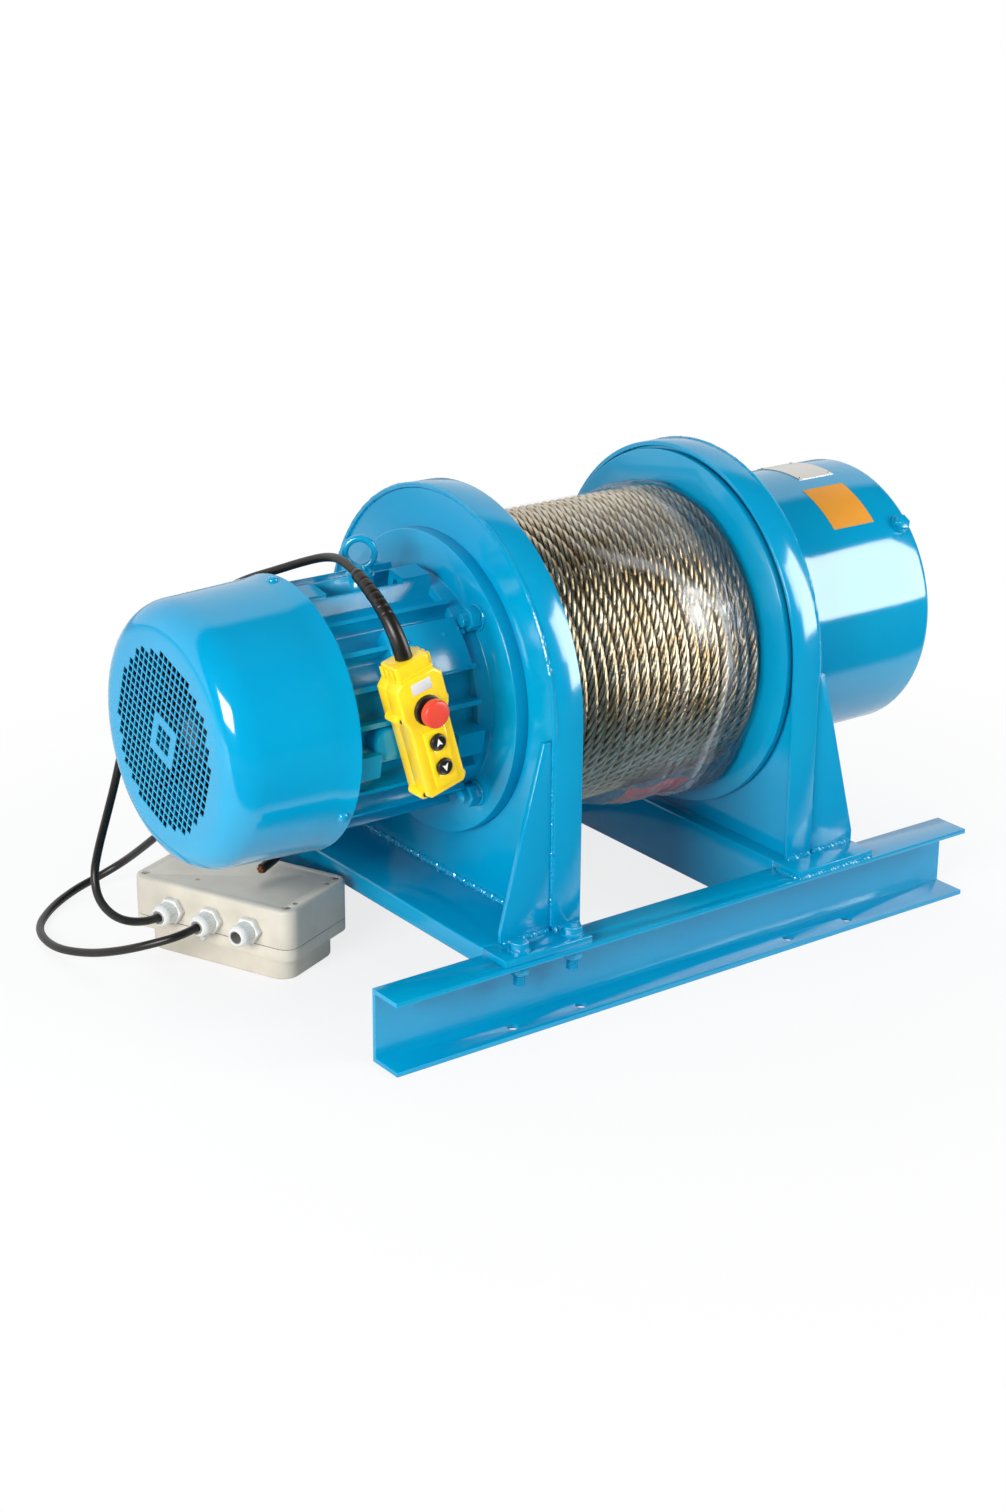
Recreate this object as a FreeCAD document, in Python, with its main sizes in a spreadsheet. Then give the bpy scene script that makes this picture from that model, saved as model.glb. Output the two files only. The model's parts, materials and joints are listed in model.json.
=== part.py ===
import FreeCAD, Part
import math
import os
import re
import Sketcher

# Electric drum winch with a planetary drive. Millimetres, +Z up, X along the drum axis.
# The motor stands at -X, the gearbox at +X, and the front rail lies at -Y.
# The origin is the centre of the base bolt pattern, on the floor.

V = FreeCAD.Vector
X_AXIS = V(1, 0, 0)

SIZES = {
    # base frame
    "axis_height": 302, "drum_shift": 10.5,
    "rail_over": 502, "rear_rail_cut": 62, "rail_shift": 5, "rail_height": 80, "rail_flange": 43,
    "rail_wall": 5,
    "rail_gap": 400, "base_hole": 13, "base_hole_inner": 286, "base_hole_outer": 461,
    "base_hole_gauge": 27,
    "beam_width": 109, "beam_offset": 53.5, "beam_wall": 8, "beam_deep": 70, "beam_lip": 22,
    "pad_depth": 41, "bolt_dia": 12, "bolt_room": 0.5, "bolt_offset": 46.75, "bolt_pitch": 67.5,
    "bolt_gauge": 26, "bolt_flats": 18, "bolt_head": 7.5, "nut_high": 10, "washer_dia": 24,
    "washer_thick": 2.5, "thread_end": 13,
    # stands
    "stand_room": 11, "stand_width": 35, "rim_radius": 208, "rim_sheet": 5, "plate_thick": 8,
    "plate_setback": 7, "weld_gap": 0.2, "gusset_long": 64, "gusset_high": 205,
    "gusset_thick": 6, "gusset_tip": 12, "gusset_inset": 3, "housing_wall": 13, "plate_bore": 90,
    # motor
    "flange_over": 50.5, "flange_thick": 15.5, "shield_over": 10, "shield_long": 18,
    "frame_radius": 112, "frame_wall": 14, "frame_long": 156, "fin_high": 18, "fin_thick": 5,
    "fin_count": 22, "lug_wide": 26, "lug_high": 22, "lug_long": 32, "lug_hole": 9, "lug_turn": 10,
    "stud_out": 28, "stud_dia": 14, "stud_flats": 22, "stud_nut": 12, "stud_washer": 28,
    "stud_end": 7, "stud_turn": 45, "rear_thick": 14, "rear_over": 12, "arm_wide": 24,
    "cowl_over": 30, "cowl_taper": 4, "cowl_sheet": 2.5, "cowl_overlap": 3, "cowl_long": 141,
    "cowl_round": 36,
    "grille_edge": 10, "grille_pitch": 8, "grille_hole": 5.6, "grille_turn": 19.2,
    "screw_inset": 11, "screw_dia": 6, "screw_head": 11,
    "eye_x": 61, "eye_mid": 15, "eye_wire": 7.5, "eye_turn": 36, "boss_radius": 15, "boss_over": 19,
    "stator_bore": 65, "air_gap": 0.5, "stator_long": 100, "stator_start": 20, "winding_long": 15,
    "shaft_dia": 30, "shaft_room": 2, "fit_gap": 0.05, "bearing_dia": 62, "bearing_wide": 16,
    "seat_wall": 9, "shield_wall": 10,
    "brake_in": 14, "brake_long": 30, "brake_gap": 2, "brake_disc": 10,
    "fan_clear": 24, "fan_long": 34, "fan_room": 14, "fan_blades": 8, "fan_sheet": 3,
    "terminal_long": 90, "terminal_high": 80, "terminal_deep": 36, "terminal_lid": 14,
    "terminal_wall": 3, "terminal_shift": 78, "terminal_out": 22,
    # drum and rope
    "drum_long": 273, "disc_radius": 200, "disc_thick": 8, "barrel_radius": 149.3, "barrel_wall": 10,
    "rope_turns": 20, "rope_layer": 6.6, "film_room": 0.3, "film_thick": 0.8, "film_end": 3,
    "journal_dia": 70, "drum_bearing": 110, "web_thick": 12, "web_inset": 12,
    # gearbox
    "cover_radius": 153.3, "cover_wall": 5, "cover_long": 220, "cover_step": 3, "cover_step_long": 7,
    "cover_round": 8, "gear_module": 3, "sun_teeth": 15, "planet_teeth": 33, "ring_teeth": 81,
    "tooth_play": 0.16, "ring_radius": 140, "ring_long": 152, "carrier_gap": 5.5, "carrier_radius": 100,
    "carrier_thick": 15, "planet_gap": 3, "second_wide": 56, "first_wide": 38, "pin_dia": 24,
    "plug_flats": 17, "plug_high": 8, "plug_turn": 46.7, "plug_inset": 9,
    # control box
    "box_out": 185.6, "box_y": 103.7, "box_turn": 24, "lid_long": 207, "lid_deep": 115, "lid_high": 44,
    "tray_long": 185, "tray_deep": 94, "tray_high": 28, "lip_high": 14, "box_wall": 3, "lid_corner": 16,
    "tray_corner": 20, "pillar_radius": 8, "pillar_inset": 12, "recess_radius": 4.4, "recess_deep": 4,
    "gland_first": 47, "gland_pitch": 50, "gland_high": 58, "gland_flats": 26, "gland_hex": 8,
    "gland_dome": 19.5, "gland_dome_dia": 23, "gland_thread": 16, "gland_tail": 9, "gland_bore": 11,
    "gland_grip": 12, "gland_spare": 20, "contactor_wide": 45, "contactor_long": 56, "contactor_high": 60,
    # pendant control
    "pendant_out": 103.2, "pendant_gap": 21, "pendant_drop": 48.3, "pendant_lean": 15.9,
    "pendant_wide": 47, "pendant_shoulder": 55, "pendant_high": 131, "pendant_deep": 37,
    "pendant_split": 16, "pendant_wall": 3, "pendant_round": 4, "waist_low": 82, "waist_high": 90,
    "strip_wide": 25, "strip_low": 9, "strip_high": 72, "strip_proud": 3.5, "collar_wide": 40,
    "collar_high": 15, "collar_deep": 29, "button_dia": 17, "button_play": 0.3, "button_proud": 3.5,
    "button_depth": 6, "up_high": 57, "down_high": 29, "estop_high": 93, "estop_stem": 14,
    "estop_knob": 27, "estop_knob_high": 11, "estop_stand": 9, "estop_bush": 30, "estop_bush_high": 4,
    # cords
    "cable_dia": 9, "lead_dia": 11, "boot_dia": 16.5,
}

# Sizes that follow from the ones above, so that pieces which touch keep together.
FOLLOWS = {
    "stand_inside": "drum_long + stand_room", "rail_length": "drum_long + rail_over",
    "beam_centre": "stand_inside/2 + beam_offset", "bolt_centre": "stand_inside/2 + bolt_offset",
    "motor_face": "drum_shift - stand_inside/2 - stand_width",
    "frame_bore": "frame_radius - frame_wall", "fin_tip": "frame_radius + fin_high",
    "lug_tip": "frame_radius + lug_high", "boss_high": "frame_radius + boss_over",
    "flange_radius": "frame_radius + flange_over", "stud_circle": "frame_radius + stud_out",
    "shield_radius": "frame_radius + shield_over", "rear_radius": "frame_radius + rear_over",
    "terminal_face": "frame_radius + terminal_out", "brake_radius": "frame_radius - brake_in",
    "cowl_radius": "frame_radius + cowl_over", "cowl_slope": "cowl_taper/(cowl_long - cowl_round)",
    "arm_tip": "cowl_radius - cowl_sheet - weld_gap - cowl_slope*(rear_thick + cowl_overlap)"
               " - arm_wide*arm_wide/(8*cowl_radius)",
    "fan_radius": "cowl_radius - fan_clear",
    "grille_radius": "cowl_radius - cowl_taper - cowl_round - grille_edge",
    "box_x": "motor_face - box_out", "pendant_x": "motor_face - pendant_out",
    "pendant_y": "-frame_radius - pendant_gap", "pendant_z": "axis_height - pendant_drop",
}

DOC = FreeCAD.newDocument("ElectricWinch")
SHEET = DOC.addObject("Spreadsheet::Sheet", "Sizes")
for row, (alias, number) in enumerate([*SIZES.items(), *FOLLOWS.items()], start=1):
    SHEET.set(f"A{row}", alias)
    SHEET.set(f"B{row}", f"={number}" if alias in FOLLOWS else str(number))
    SHEET.setAlias(f"B{row}", alias)
DOC.recompute()

WORD = re.compile(r"[a-z][a-z_]*")
NAMES = {*SIZES, *FOLLOWS}
NODES = []


def formula(text):
    """The text with each size's name written as a reference to its cell."""
    return WORD.sub(lambda word: f"Sizes.{word.group()}" if word.group() in NAMES else word.group(),
                    str(text))


def value(text):
    """The number that a formula gives with the sheet's present sizes."""
    return float(SHEET.evalExpression(formula(text)))


def bind(thing, prop, text):
    thing.setExpression(prop, formula(text))


def node(thing, label):
    """Gives a sub-part its name and lists it for writing."""
    thing.Label = label
    NODES.append(thing)
    return thing


# Places that several pieces share.
AXIS = "axis_height"
WEB_BACK = "(rail_gap/2)"
PAD_TOP = "(rail_height + beam_wall)"
STAND_DROP = "(axis_height - rail_height - beam_wall)"
MOTOR_MOUTH = "(drum_shift - stand_inside/2)"
MOTOR_FACE = "(drum_shift - stand_inside/2 - stand_width)"
GEAR_MOUTH = "(drum_shift + stand_inside/2)"
GEAR_FACE = "(drum_shift + stand_inside/2 + stand_width)"
FRAME_START = "(drum_shift - stand_inside/2 - stand_width - flange_thick - shield_long)"
REAR_START = "(drum_shift - stand_inside/2 - stand_width - flange_thick - shield_long - frame_long)"
COWL_START = f"({REAR_START} + cowl_overlap)"
SHAFT_R = "(shaft_dia/2)"
SHAFT_HOLE = "(shaft_dia/2 + shaft_room)"
ROPE_PITCH = "(drum_long/rope_turns)"
ROPE_TOP = "(barrel_radius + rope_layer + drum_long/rope_turns/2)"
PITCH_SUN = "(gear_module*sun_teeth/2)"
CARRIER_ARM = "(gear_module*(sun_teeth + planet_teeth)/2)"
CARRIER_TWO = "(drum_shift + stand_inside/2 + stand_width + carrier_gap)"
PLANETS_TWO = f"({CARRIER_TWO} + carrier_thick + planet_gap)"
CARRIER_ONE = f"({PLANETS_TWO} + second_wide + 2*planet_gap)"
PLANETS_ONE = f"({CARRIER_ONE} + carrier_thick + planet_gap)"
GEAR_END = f"({PLANETS_ONE} + first_wide)"
LID_TOP = "(tray_high + lip_high + lid_high)"
SPLIT_Z = "(tray_high + lip_high)"
BARREL_HALF = "(drum_long/2 + disc_thick)"
PLATE_NEAR = "(stand_inside/2 + plate_setback)"
HOUSING_END = "(stand_inside/2 + stand_width - plate_thick)"


def new_body(label):
    return DOC.addObject("PartDesign::Body", label)


def place(thing, x="0", y="0", z="0"):
    for letter, text in zip("xyz", (x, y, z)):
        bind(thing, f"Placement.Base.{letter}", text)
    return thing


def origin_part(body, role):
    return next(part for part in body.Origin.OriginFeatures if part.Role == role)


def sketch_on(body, plane, offset="0"):
    sketch = body.newObject("Sketcher::SketchObject", "Sketch")
    sketch.AttachmentSupport = [(origin_part(body, f"{plane}_Plane"), "")]
    sketch.MapMode = "FlatFace"
    bind(sketch, "AttachmentOffset.Base.z", offset)
    return sketch


def pin(sketch, geometry, point, x, y):
    """Ties a point of a sketch to the sketch's origin by formulas."""
    for kind, axis, text in (("DistanceX", -2, x), ("DistanceY", -1, y)):
        if text == "0":
            sketch.addConstraint(Sketcher.Constraint("PointOnObject", geometry, point, axis))
            continue
        tie = sketch.addConstraint(Sketcher.Constraint(kind, -1, 1, geometry, point, value(text)))
        bind(sketch, f"Constraints[{tie}]", text)


def join(sketch, ends):
    for (one, one_end), (two, two_end) in ends:
        sketch.addConstraint(Sketcher.Constraint("Coincident", one, one_end, two, two_end))


def polygon(sketch, corners):
    points = [V(value(x), value(y), 0) for x, y in corners]
    first = sketch.GeometryCount
    count = len(points)
    sketch.addGeometry([Part.LineSegment(points[i], points[(i + 1) % count]) for i in range(count)], False)
    join(sketch, [((first + i, 2), (first + (i + 1) % count, 1)) for i in range(count)])
    for i, (x, y) in enumerate(corners):
        pin(sketch, first + i, 1, x, y)
    return sketch


def rectangle(sketch, x, y, wide, high):
    return polygon(sketch, [(f"{x} - ({wide})/2", f"{y} - ({high})/2"),
                            (f"{x} + ({wide})/2", f"{y} - ({high})/2"),
                            (f"{x} + ({wide})/2", f"{y} + ({high})/2"),
                            (f"{x} - ({wide})/2", f"{y} + ({high})/2")])


def circle(sketch, x, y, radius):
    made = sketch.addGeometry(Part.Circle(V(value(x), value(y), 0), V(0, 0, 1), value(radius)), False)
    pin(sketch, made, 3, x, y)
    tie = sketch.addConstraint(Sketcher.Constraint("Radius", made, value(radius)))
    bind(sketch, f"Constraints[{tie}]", radius)
    return sketch


def arch(sketch, radius, drop):
    """A half round about the sketch's origin on two straight legs that end at the drop."""
    big, low = value(radius), -value(drop)
    lines = [(V(-big, 0, 0), V(-big, low, 0)), (V(-big, low, 0), V(big, low, 0)),
             (V(big, low, 0), V(big, 0, 0))]
    first = sketch.GeometryCount
    sketch.addGeometry([Part.LineSegment(*line) for line in lines], False)
    sketch.addGeometry(Part.ArcOfCircle(Part.Circle(V(0, 0, 0), V(0, 0, 1), big), 0, math.pi), False)
    join(sketch, [((first, 2), (first + 1, 1)), ((first + 1, 2), (first + 2, 1)),
                  ((first + 2, 2), (first + 3, 1)), ((first + 3, 2), (first, 1))])
    sketch.addConstraint(Sketcher.Constraint("PointOnObject", first + 3, 3, -1))
    pin(sketch, first, 1, f"-({radius})", "0")
    pin(sketch, first + 1, 1, f"-({radius})", f"-({drop})")
    pin(sketch, first + 2, 1, radius, f"-({drop})")
    pin(sketch, first + 2, 2, radius, "0")
    return sketch


def rounded(sketch, wide, high, corner):
    """A rectangle about the sketch's origin with round corners."""
    a, b, r = value(wide) / 2, value(high) / 2, value(corner)
    spots = [(a, -b + r), (a, b - r), (a - r, b), (-a + r, b), (-a, b - r), (-a, -b + r), (-a + r, -b),
             (a - r, -b)]
    texts = {a: f"({wide})/2", -a: f"-({wide})/2", b: f"({high})/2", -b: f"-({high})/2",
             a - r: f"({wide})/2 - {corner}", r - a: f"{corner} - ({wide})/2",
             b - r: f"({high})/2 - {corner}", r - b: f"{corner} - ({high})/2"}
    first = sketch.GeometryCount
    centres = [(a - r, b - r, 0), (-a + r, b - r, 90), (-a + r, -b + r, 180), (a - r, -b + r, 270)]
    for side in range(4):
        start, end = spots[2 * side], spots[2 * side + 1]
        sketch.addGeometry(Part.LineSegment(V(*start, 0), V(*end, 0)), False)
        x, y, turn = centres[side]
        round_edge = Part.Circle(V(x, y, 0), V(0, 0, 1), r)
        sketch.addGeometry(Part.ArcOfCircle(round_edge, math.radians(turn), math.radians(turn + 90)), False)
    for side in range(4):
        line, arc, following = first + 2 * side, first + 2 * side + 1, first + (2 * side + 2) % 8
        join(sketch, [((line, 2), (arc, 1)), ((arc, 2), (following, 1))])
        for end in (0, 1):
            x, y = spots[2 * side + end]
            pin(sketch, line, end + 1, texts[x], texts[y])
        tie = sketch.addConstraint(Sketcher.Constraint("Radius", arc, r))
        bind(sketch, f"Constraints[{tie}]", corner)
    return sketch


def pad(body, sketch, length, back=False):
    feature = body.newObject("PartDesign::Pad", "Pad")
    feature.Profile = sketch
    feature.Reversed = back
    bind(feature, "Length", length)
    return feature


def pocket(body, sketch, length, back=False):
    """A cut that has to take material away."""
    DOC.recompute()
    before = body.Shape.Volume
    feature = body.newObject("PartDesign::Pocket", "Pocket")
    feature.Profile = sketch
    feature.Reversed = back
    bind(feature, "Length", length)
    DOC.recompute()
    if body.Shape.Volume >= before - 1e-6:
        raise RuntimeError(f"{body.Name}: a pocket cuts nothing")
    return feature


def pattern(body, feature, count, role="X_Axis"):
    """Copies of a feature all round an axis of the body."""
    DOC.recompute()
    copies = body.newObject("PartDesign::PolarPattern", "Pattern")
    copies.Originals = [feature]
    copies.Axis = (origin_part(body, role), [""])
    copies.Angle = 360
    bind(copies, "Occurrences", count)
    body.Tip = copies
    return copies


def turned(label, profiles, x="0", z=AXIS):
    """A body turned about a line along X; each profile is a list of x and radius."""
    body = place(new_body(label), x=x, z=z)
    sketch = sketch_on(body, "XZ")
    for profile in profiles:
        polygon(sketch, profile)
    turn = body.newObject("PartDesign::Revolution", "Turn")
    turn.Profile = sketch
    turn.ReferenceAxis = (sketch, ["H_Axis"])
    turn.Angle = 360
    return node(body, label)


def ring(near, far, inner, outer):
    return [(near, inner), (far, inner), (far, outer), (near, outer)]


def shape_node(label, shape, placement=None):
    """A sub-part whose shape is made directly, with sizes from the sheet."""
    thing = DOC.addObject("Part::Feature", label)
    thing.Shape = shape
    if placement:
        thing.Placement = placement
    return node(thing, label)


def group(shapes):
    return shapes[0] if len(shapes) == 1 else Part.Compound(shapes)


def rod(start, direction, radius, length):
    return Part.makeCylinder(radius, length, start, direction)


def hexagon(start, direction, flats, high):
    """A hexagon prism along a direction, with its lower face at the start."""
    corners = [V(flats / math.sqrt(3) * math.cos(a), flats / math.sqrt(3) * math.sin(a), 0)
               for a in (math.radians(60 * i) for i in range(6))]
    prism = Part.Face(Part.makePolygon(corners + corners[:1])).extrude(V(0, 0, high))
    prism.Placement = FreeCAD.Placement(start, FreeCAD.Rotation(V(0, 0, 1), direction))
    return prism


def around(angle, radius, x=0):
    """A point at an angle from the top towards the front, about the drum axis."""
    a = math.radians(angle)
    return V(x, -radius * math.sin(a), value(AXIS) + radius * math.cos(a))


# Base frame: two channel rails, two folded cross beams and the pads on the rails.
def rail(label, side):
    body = new_body(label)
    back, tip, inner = WEB_BACK, f"({WEB_BACK} + rail_flange)", f"({WEB_BACK} + rail_wall)"
    outline = [(back, "0"), (tip, "0"), (tip, "rail_wall"), (inner, "rail_wall"),
               (inner, "rail_height - rail_wall"),
               (tip, "rail_height - rail_wall"), (tip, "rail_height"), (back, "rail_height")]
    cut = "rear_rail_cut" if side > 0 else "0"
    profile = sketch_on(body, "YZ", f"rail_shift - rail_length/2 + {cut}")
    polygon(profile, [(f"{side}*{y}", z) for y, z in outline])
    pad(body, profile, f"rail_length - {cut}")
    base = sketch_on(body, "XY", "rail_wall")
    for span in ("base_hole_inner", "base_hole_outer"):
        for end in (-1, 1):
            circle(base, f"{end}*{span}/2", f"{side}*({WEB_BACK} + base_hole_gauge)", "base_hole/2")
    pocket(body, base, "rail_wall")
    top = sketch_on(body, "XY", "rail_height")
    for end in (-1, 1):
        circle(top, f"{end}*bolt_pitch/2 - bolt_centre", f"{side}*({WEB_BACK} + bolt_gauge)",
               "bolt_dia/2 + bolt_room")
    pocket(body, top, "rail_wall")
    return node(body, label)


def cross_beam(label, side):
    near, far = "(beam_centre - beam_width/2)", "(beam_centre + beam_width/2)"
    outline = [(near, f"{PAD_TOP} - beam_deep"), (f"{near} + beam_wall", f"{PAD_TOP} - beam_deep"),
               (f"{near} + beam_wall", "rail_height"), (f"{far} - beam_wall", "rail_height"),
               (f"{far} - beam_wall", f"{PAD_TOP} - beam_lip"), (far, f"{PAD_TOP} - beam_lip"),
               (far, PAD_TOP), (near, PAD_TOP)]
    body = new_body(label)
    profile = sketch_on(body, "XZ", f"-{WEB_BACK}")
    polygon(profile, [(f"{side}*({x})", z) for x, z in outline])
    pad(body, profile, "rail_gap")
    return node(body, label)


def foot_pads():
    body = new_body("foot_pads")
    sketch = sketch_on(body, "XY", "rail_height")
    for side in (-1, 1):
        for front in (-1, 1):
            rectangle(sketch, f"{side}*beam_centre", f"{front}*({WEB_BACK} + pad_depth/2)", "beam_width",
                      "pad_depth")
    pad(body, sketch, "beam_wall")
    holes = sketch_on(body, "XY", PAD_TOP)
    for front in (-1, 1):
        for end in (-1, 1):
            circle(holes, f"{end}*bolt_pitch/2 - bolt_centre", f"{front}*({WEB_BACK} + bolt_gauge)",
                   "bolt_dia/2 + bolt_room")
    pocket(body, holes, "beam_wall")
    return node(body, "foot_pads")


def base_bolts():
    radius, washer, thick = value("bolt_dia/2"), value("washer_dia/2"), value("washer_thick")
    top, under = value(PAD_TOP), value("rail_height - rail_wall")
    head, nut, flats = value("bolt_head"), value("nut_high"), value("bolt_flats")
    foot = under - thick - nut - value("thread_end")
    up, shapes = V(0, 0, 1), []
    for front in (-1, 1):
        for end in (-1, 1):
            at = V(value(f"{end}*bolt_pitch/2 - bolt_centre"), value(f"{front}*({WEB_BACK} + bolt_gauge)"), 0)
            shank = rod(at + up * foot, up, radius, top + thick - foot)
            bolt = shank.fuse(hexagon(at + up * (top + thick), up, flats, head)).removeSplitter()
            bore = radius + value("fit_gap")
            for low in (top, under - thick):
                shapes.append(rod(at + up * low, up, washer, thick).cut(rod(at + up * low, up, bore, thick)))
            low = under - thick - nut
            shapes += [bolt, hexagon(at + up * low, up, flats, nut).cut(rod(at + up * low, up, bore, nut))]
    return shape_node("base_bolts", group(shapes))


for end_name, end_side in (("front", -1), ("rear", 1)):
    rail(f"{end_name}_rail", end_side)
for end_name, end_side in (("motor", -1), ("gear", 1)):
    cross_beam(f"{end_name}_cross_beam", end_side)
foot_pads()
base_bolts()


# Stands: a round-topped box of two plates inside a rim band, braced by gussets.
def stand_rim(label, start):
    body = place(new_body(label), z=AXIS)
    pad(body, arch(sketch_on(body, "YZ", start), "rim_radius", STAND_DROP), "stand_width")
    pocket(body, arch(sketch_on(body, "YZ", start), "rim_radius - rim_sheet", f"({STAND_DROP} + rim_sheet)"),
           "stand_width", back=True)
    return node(body, label)


def stand_plates(label, side):
    """The drum-side plate carries the bearing in a ring; the outer plate takes the motor or gears."""
    body = place(new_body(label), x="drum_shift", z=AXIS)
    bearing_r = "(drum_bearing/2 + fit_gap)"
    slabs = ((PLATE_NEAR, f"({PLATE_NEAR} + plate_thick)", bearing_r),
             (HOUSING_END, f"({HOUSING_END} + plate_thick)", "plate_bore/2"))
    for near, far, bore in slabs:
        start = near if side > 0 else f"-{far}"
        outline = arch(sketch_on(body, "YZ", start), "rim_radius - rim_sheet - weld_gap", STAND_DROP)
        pad(body, circle(outline, "0", "0", bore), "plate_thick")
    near, far = f"({PLATE_NEAR} + plate_thick)", HOUSING_END
    housing = circle(sketch_on(body, "YZ", near if side > 0 else f"-{far}"), "0", "0", bearing_r)
    pad(body, circle(housing, "0", "0", f"({bearing_r} + housing_wall)"), f"{far} - {near}")
    return node(body, label)


def stand_gussets():
    shapes = []
    high, tip, thick = value("gusset_high"), value("gusset_tip"), value("gusset_thick")
    for face, side in ((value(MOTOR_FACE), -1), (value(GEAR_FACE), 1)):
        for front in (-1, 1):
            long = side * value("gusset_long")
            y = front * value("rim_radius - gusset_inset - gusset_thick/2") - thick / 2
            z = value(PAD_TOP)
            corners = [V(face, y, z), V(face + long, y, z), V(face + long, y, z + tip),
                       V(face + side * tip, y, z + high), V(face, y, z + high)]
            shapes.append(Part.Face(Part.makePolygon(corners + corners[:1])).extrude(V(0, thick, 0)))
    return shape_node("stand_gussets", group(shapes))


stand_rim("motor_stand_rim", MOTOR_FACE)
stand_rim("gear_stand_rim", GEAR_MOUTH)
stand_plates("motor_stand_plates", -1)
stand_plates("gear_stand_plates", 1)
stand_gussets()


# Motor: flanged drive-end shield, finned frame, rear shield, brake, fan and cowl.
def spread(label, body, sketch_maker, count, length, offset, turn):
    """A feature padded along X from a sketch beside the axis and copied all round."""
    sketch = sketch_on(body, "YZ", offset)
    sketch.AttachmentOffset = FreeCAD.Placement(V(0, 0, value(offset)),
                                                FreeCAD.Rotation(V(0, 0, 1), value(turn)))
    sketch_maker(sketch)
    return pattern(body, pad(body, sketch, length), count)


def motor_flange_shield():
    seat = "(bearing_dia/2 + fit_gap)"
    wall, boss = "-shield_wall", "(-shield_wall - bearing_wide)"
    profile = [("0", SHAFT_HOLE), ("0", "flange_radius"), ("-flange_thick", "flange_radius"),
               ("-flange_thick", "shield_radius"), ("-flange_thick - shield_long", "shield_radius"),
               ("-flange_thick - shield_long", "frame_bore"), (wall, "frame_bore"),
               (wall, f"{seat} + seat_wall"),
               (boss, f"{seat} + seat_wall"), (boss, seat), (wall, seat), (wall, SHAFT_HOLE)]
    body = turned("motor_flange_shield", [profile], x=MOTOR_FACE)
    hole = sketch_on(body, "YZ", "-flange_thick")
    arm = f"stud_circle*{math.sqrt(0.5)}"
    circle(hole, arm, arm, "stud_dia/2 + bolt_room")
    pattern(body, pocket(body, hole, "flange_thick", back=True), "4")


def motor_frame():
    body = turned("motor_frame", [ring("0", "-frame_long", "frame_bore", "frame_radius")], x=FRAME_START)
    root = "(frame_radius - 2*weld_gap - fin_thick)"
    spread("fins", body, lambda s: rectangle(s, "0", f"({root} + fin_tip)/2", "fin_thick",
                                             f"fin_tip - {root}"),
           "fin_count", "frame_long", "-frame_long", "0")
    for start in ("-lug_long", "-frame_long"):
        spread("lugs", body, lambda s: rectangle(s, "0", f"({root} + lug_tip)/2", "lug_wide",
                                                 f"lug_tip - {root}"),
               "4", "lug_long", start, "lug_turn")
        hole = sketch_on(body, "YZ", start)
        hole.AttachmentOffset = FreeCAD.Placement(V(0, 0, value(start)),
                                                  FreeCAD.Rotation(V(0, 0, 1), value("lug_turn")))
        circle(hole, "0", "(frame_radius + lug_tip)/2", "lug_hole/2")
        pattern(body, pocket(body, hole, "lug_long", back=True), "4")
    boss = sketch_on(body, "XY", "frame_radius - fin_thick")
    pad(body, circle(boss, "-eye_x", "0", "boss_radius"), "boss_high - frame_radius + fin_thick")
    seat = sketch_on(body, "XZ", "-terminal_face")
    rectangle(seat, "-terminal_shift", "0", "terminal_long - 2*terminal_wall",
              "terminal_high - 2*terminal_wall")
    pad(body, seat, "terminal_face - frame_radius + 2*fin_thick")
    return body


def motor_rear_shield():
    seat = "(bearing_dia/2 + fit_gap)"
    profile = [("-rear_thick", SHAFT_HOLE), ("-rear_thick", "rear_radius"), ("0", "rear_radius"),
               ("0", f"{seat} + seat_wall"), ("bearing_wide", f"{seat} + seat_wall"), ("bearing_wide", seat),
               ("0", seat), ("0", SHAFT_HOLE)]
    body = turned("motor_rear_shield", [profile], x=REAR_START)
    tip = "arm_tip"
    low = "(rear_radius - arm_wide/2)"
    spread("arms", body, lambda s: rectangle(s, "0", f"({low} + {tip})/2", "arm_wide", f"{tip} - {low}"),
           "3", "rear_thick", "-rear_thick", "0")


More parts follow.
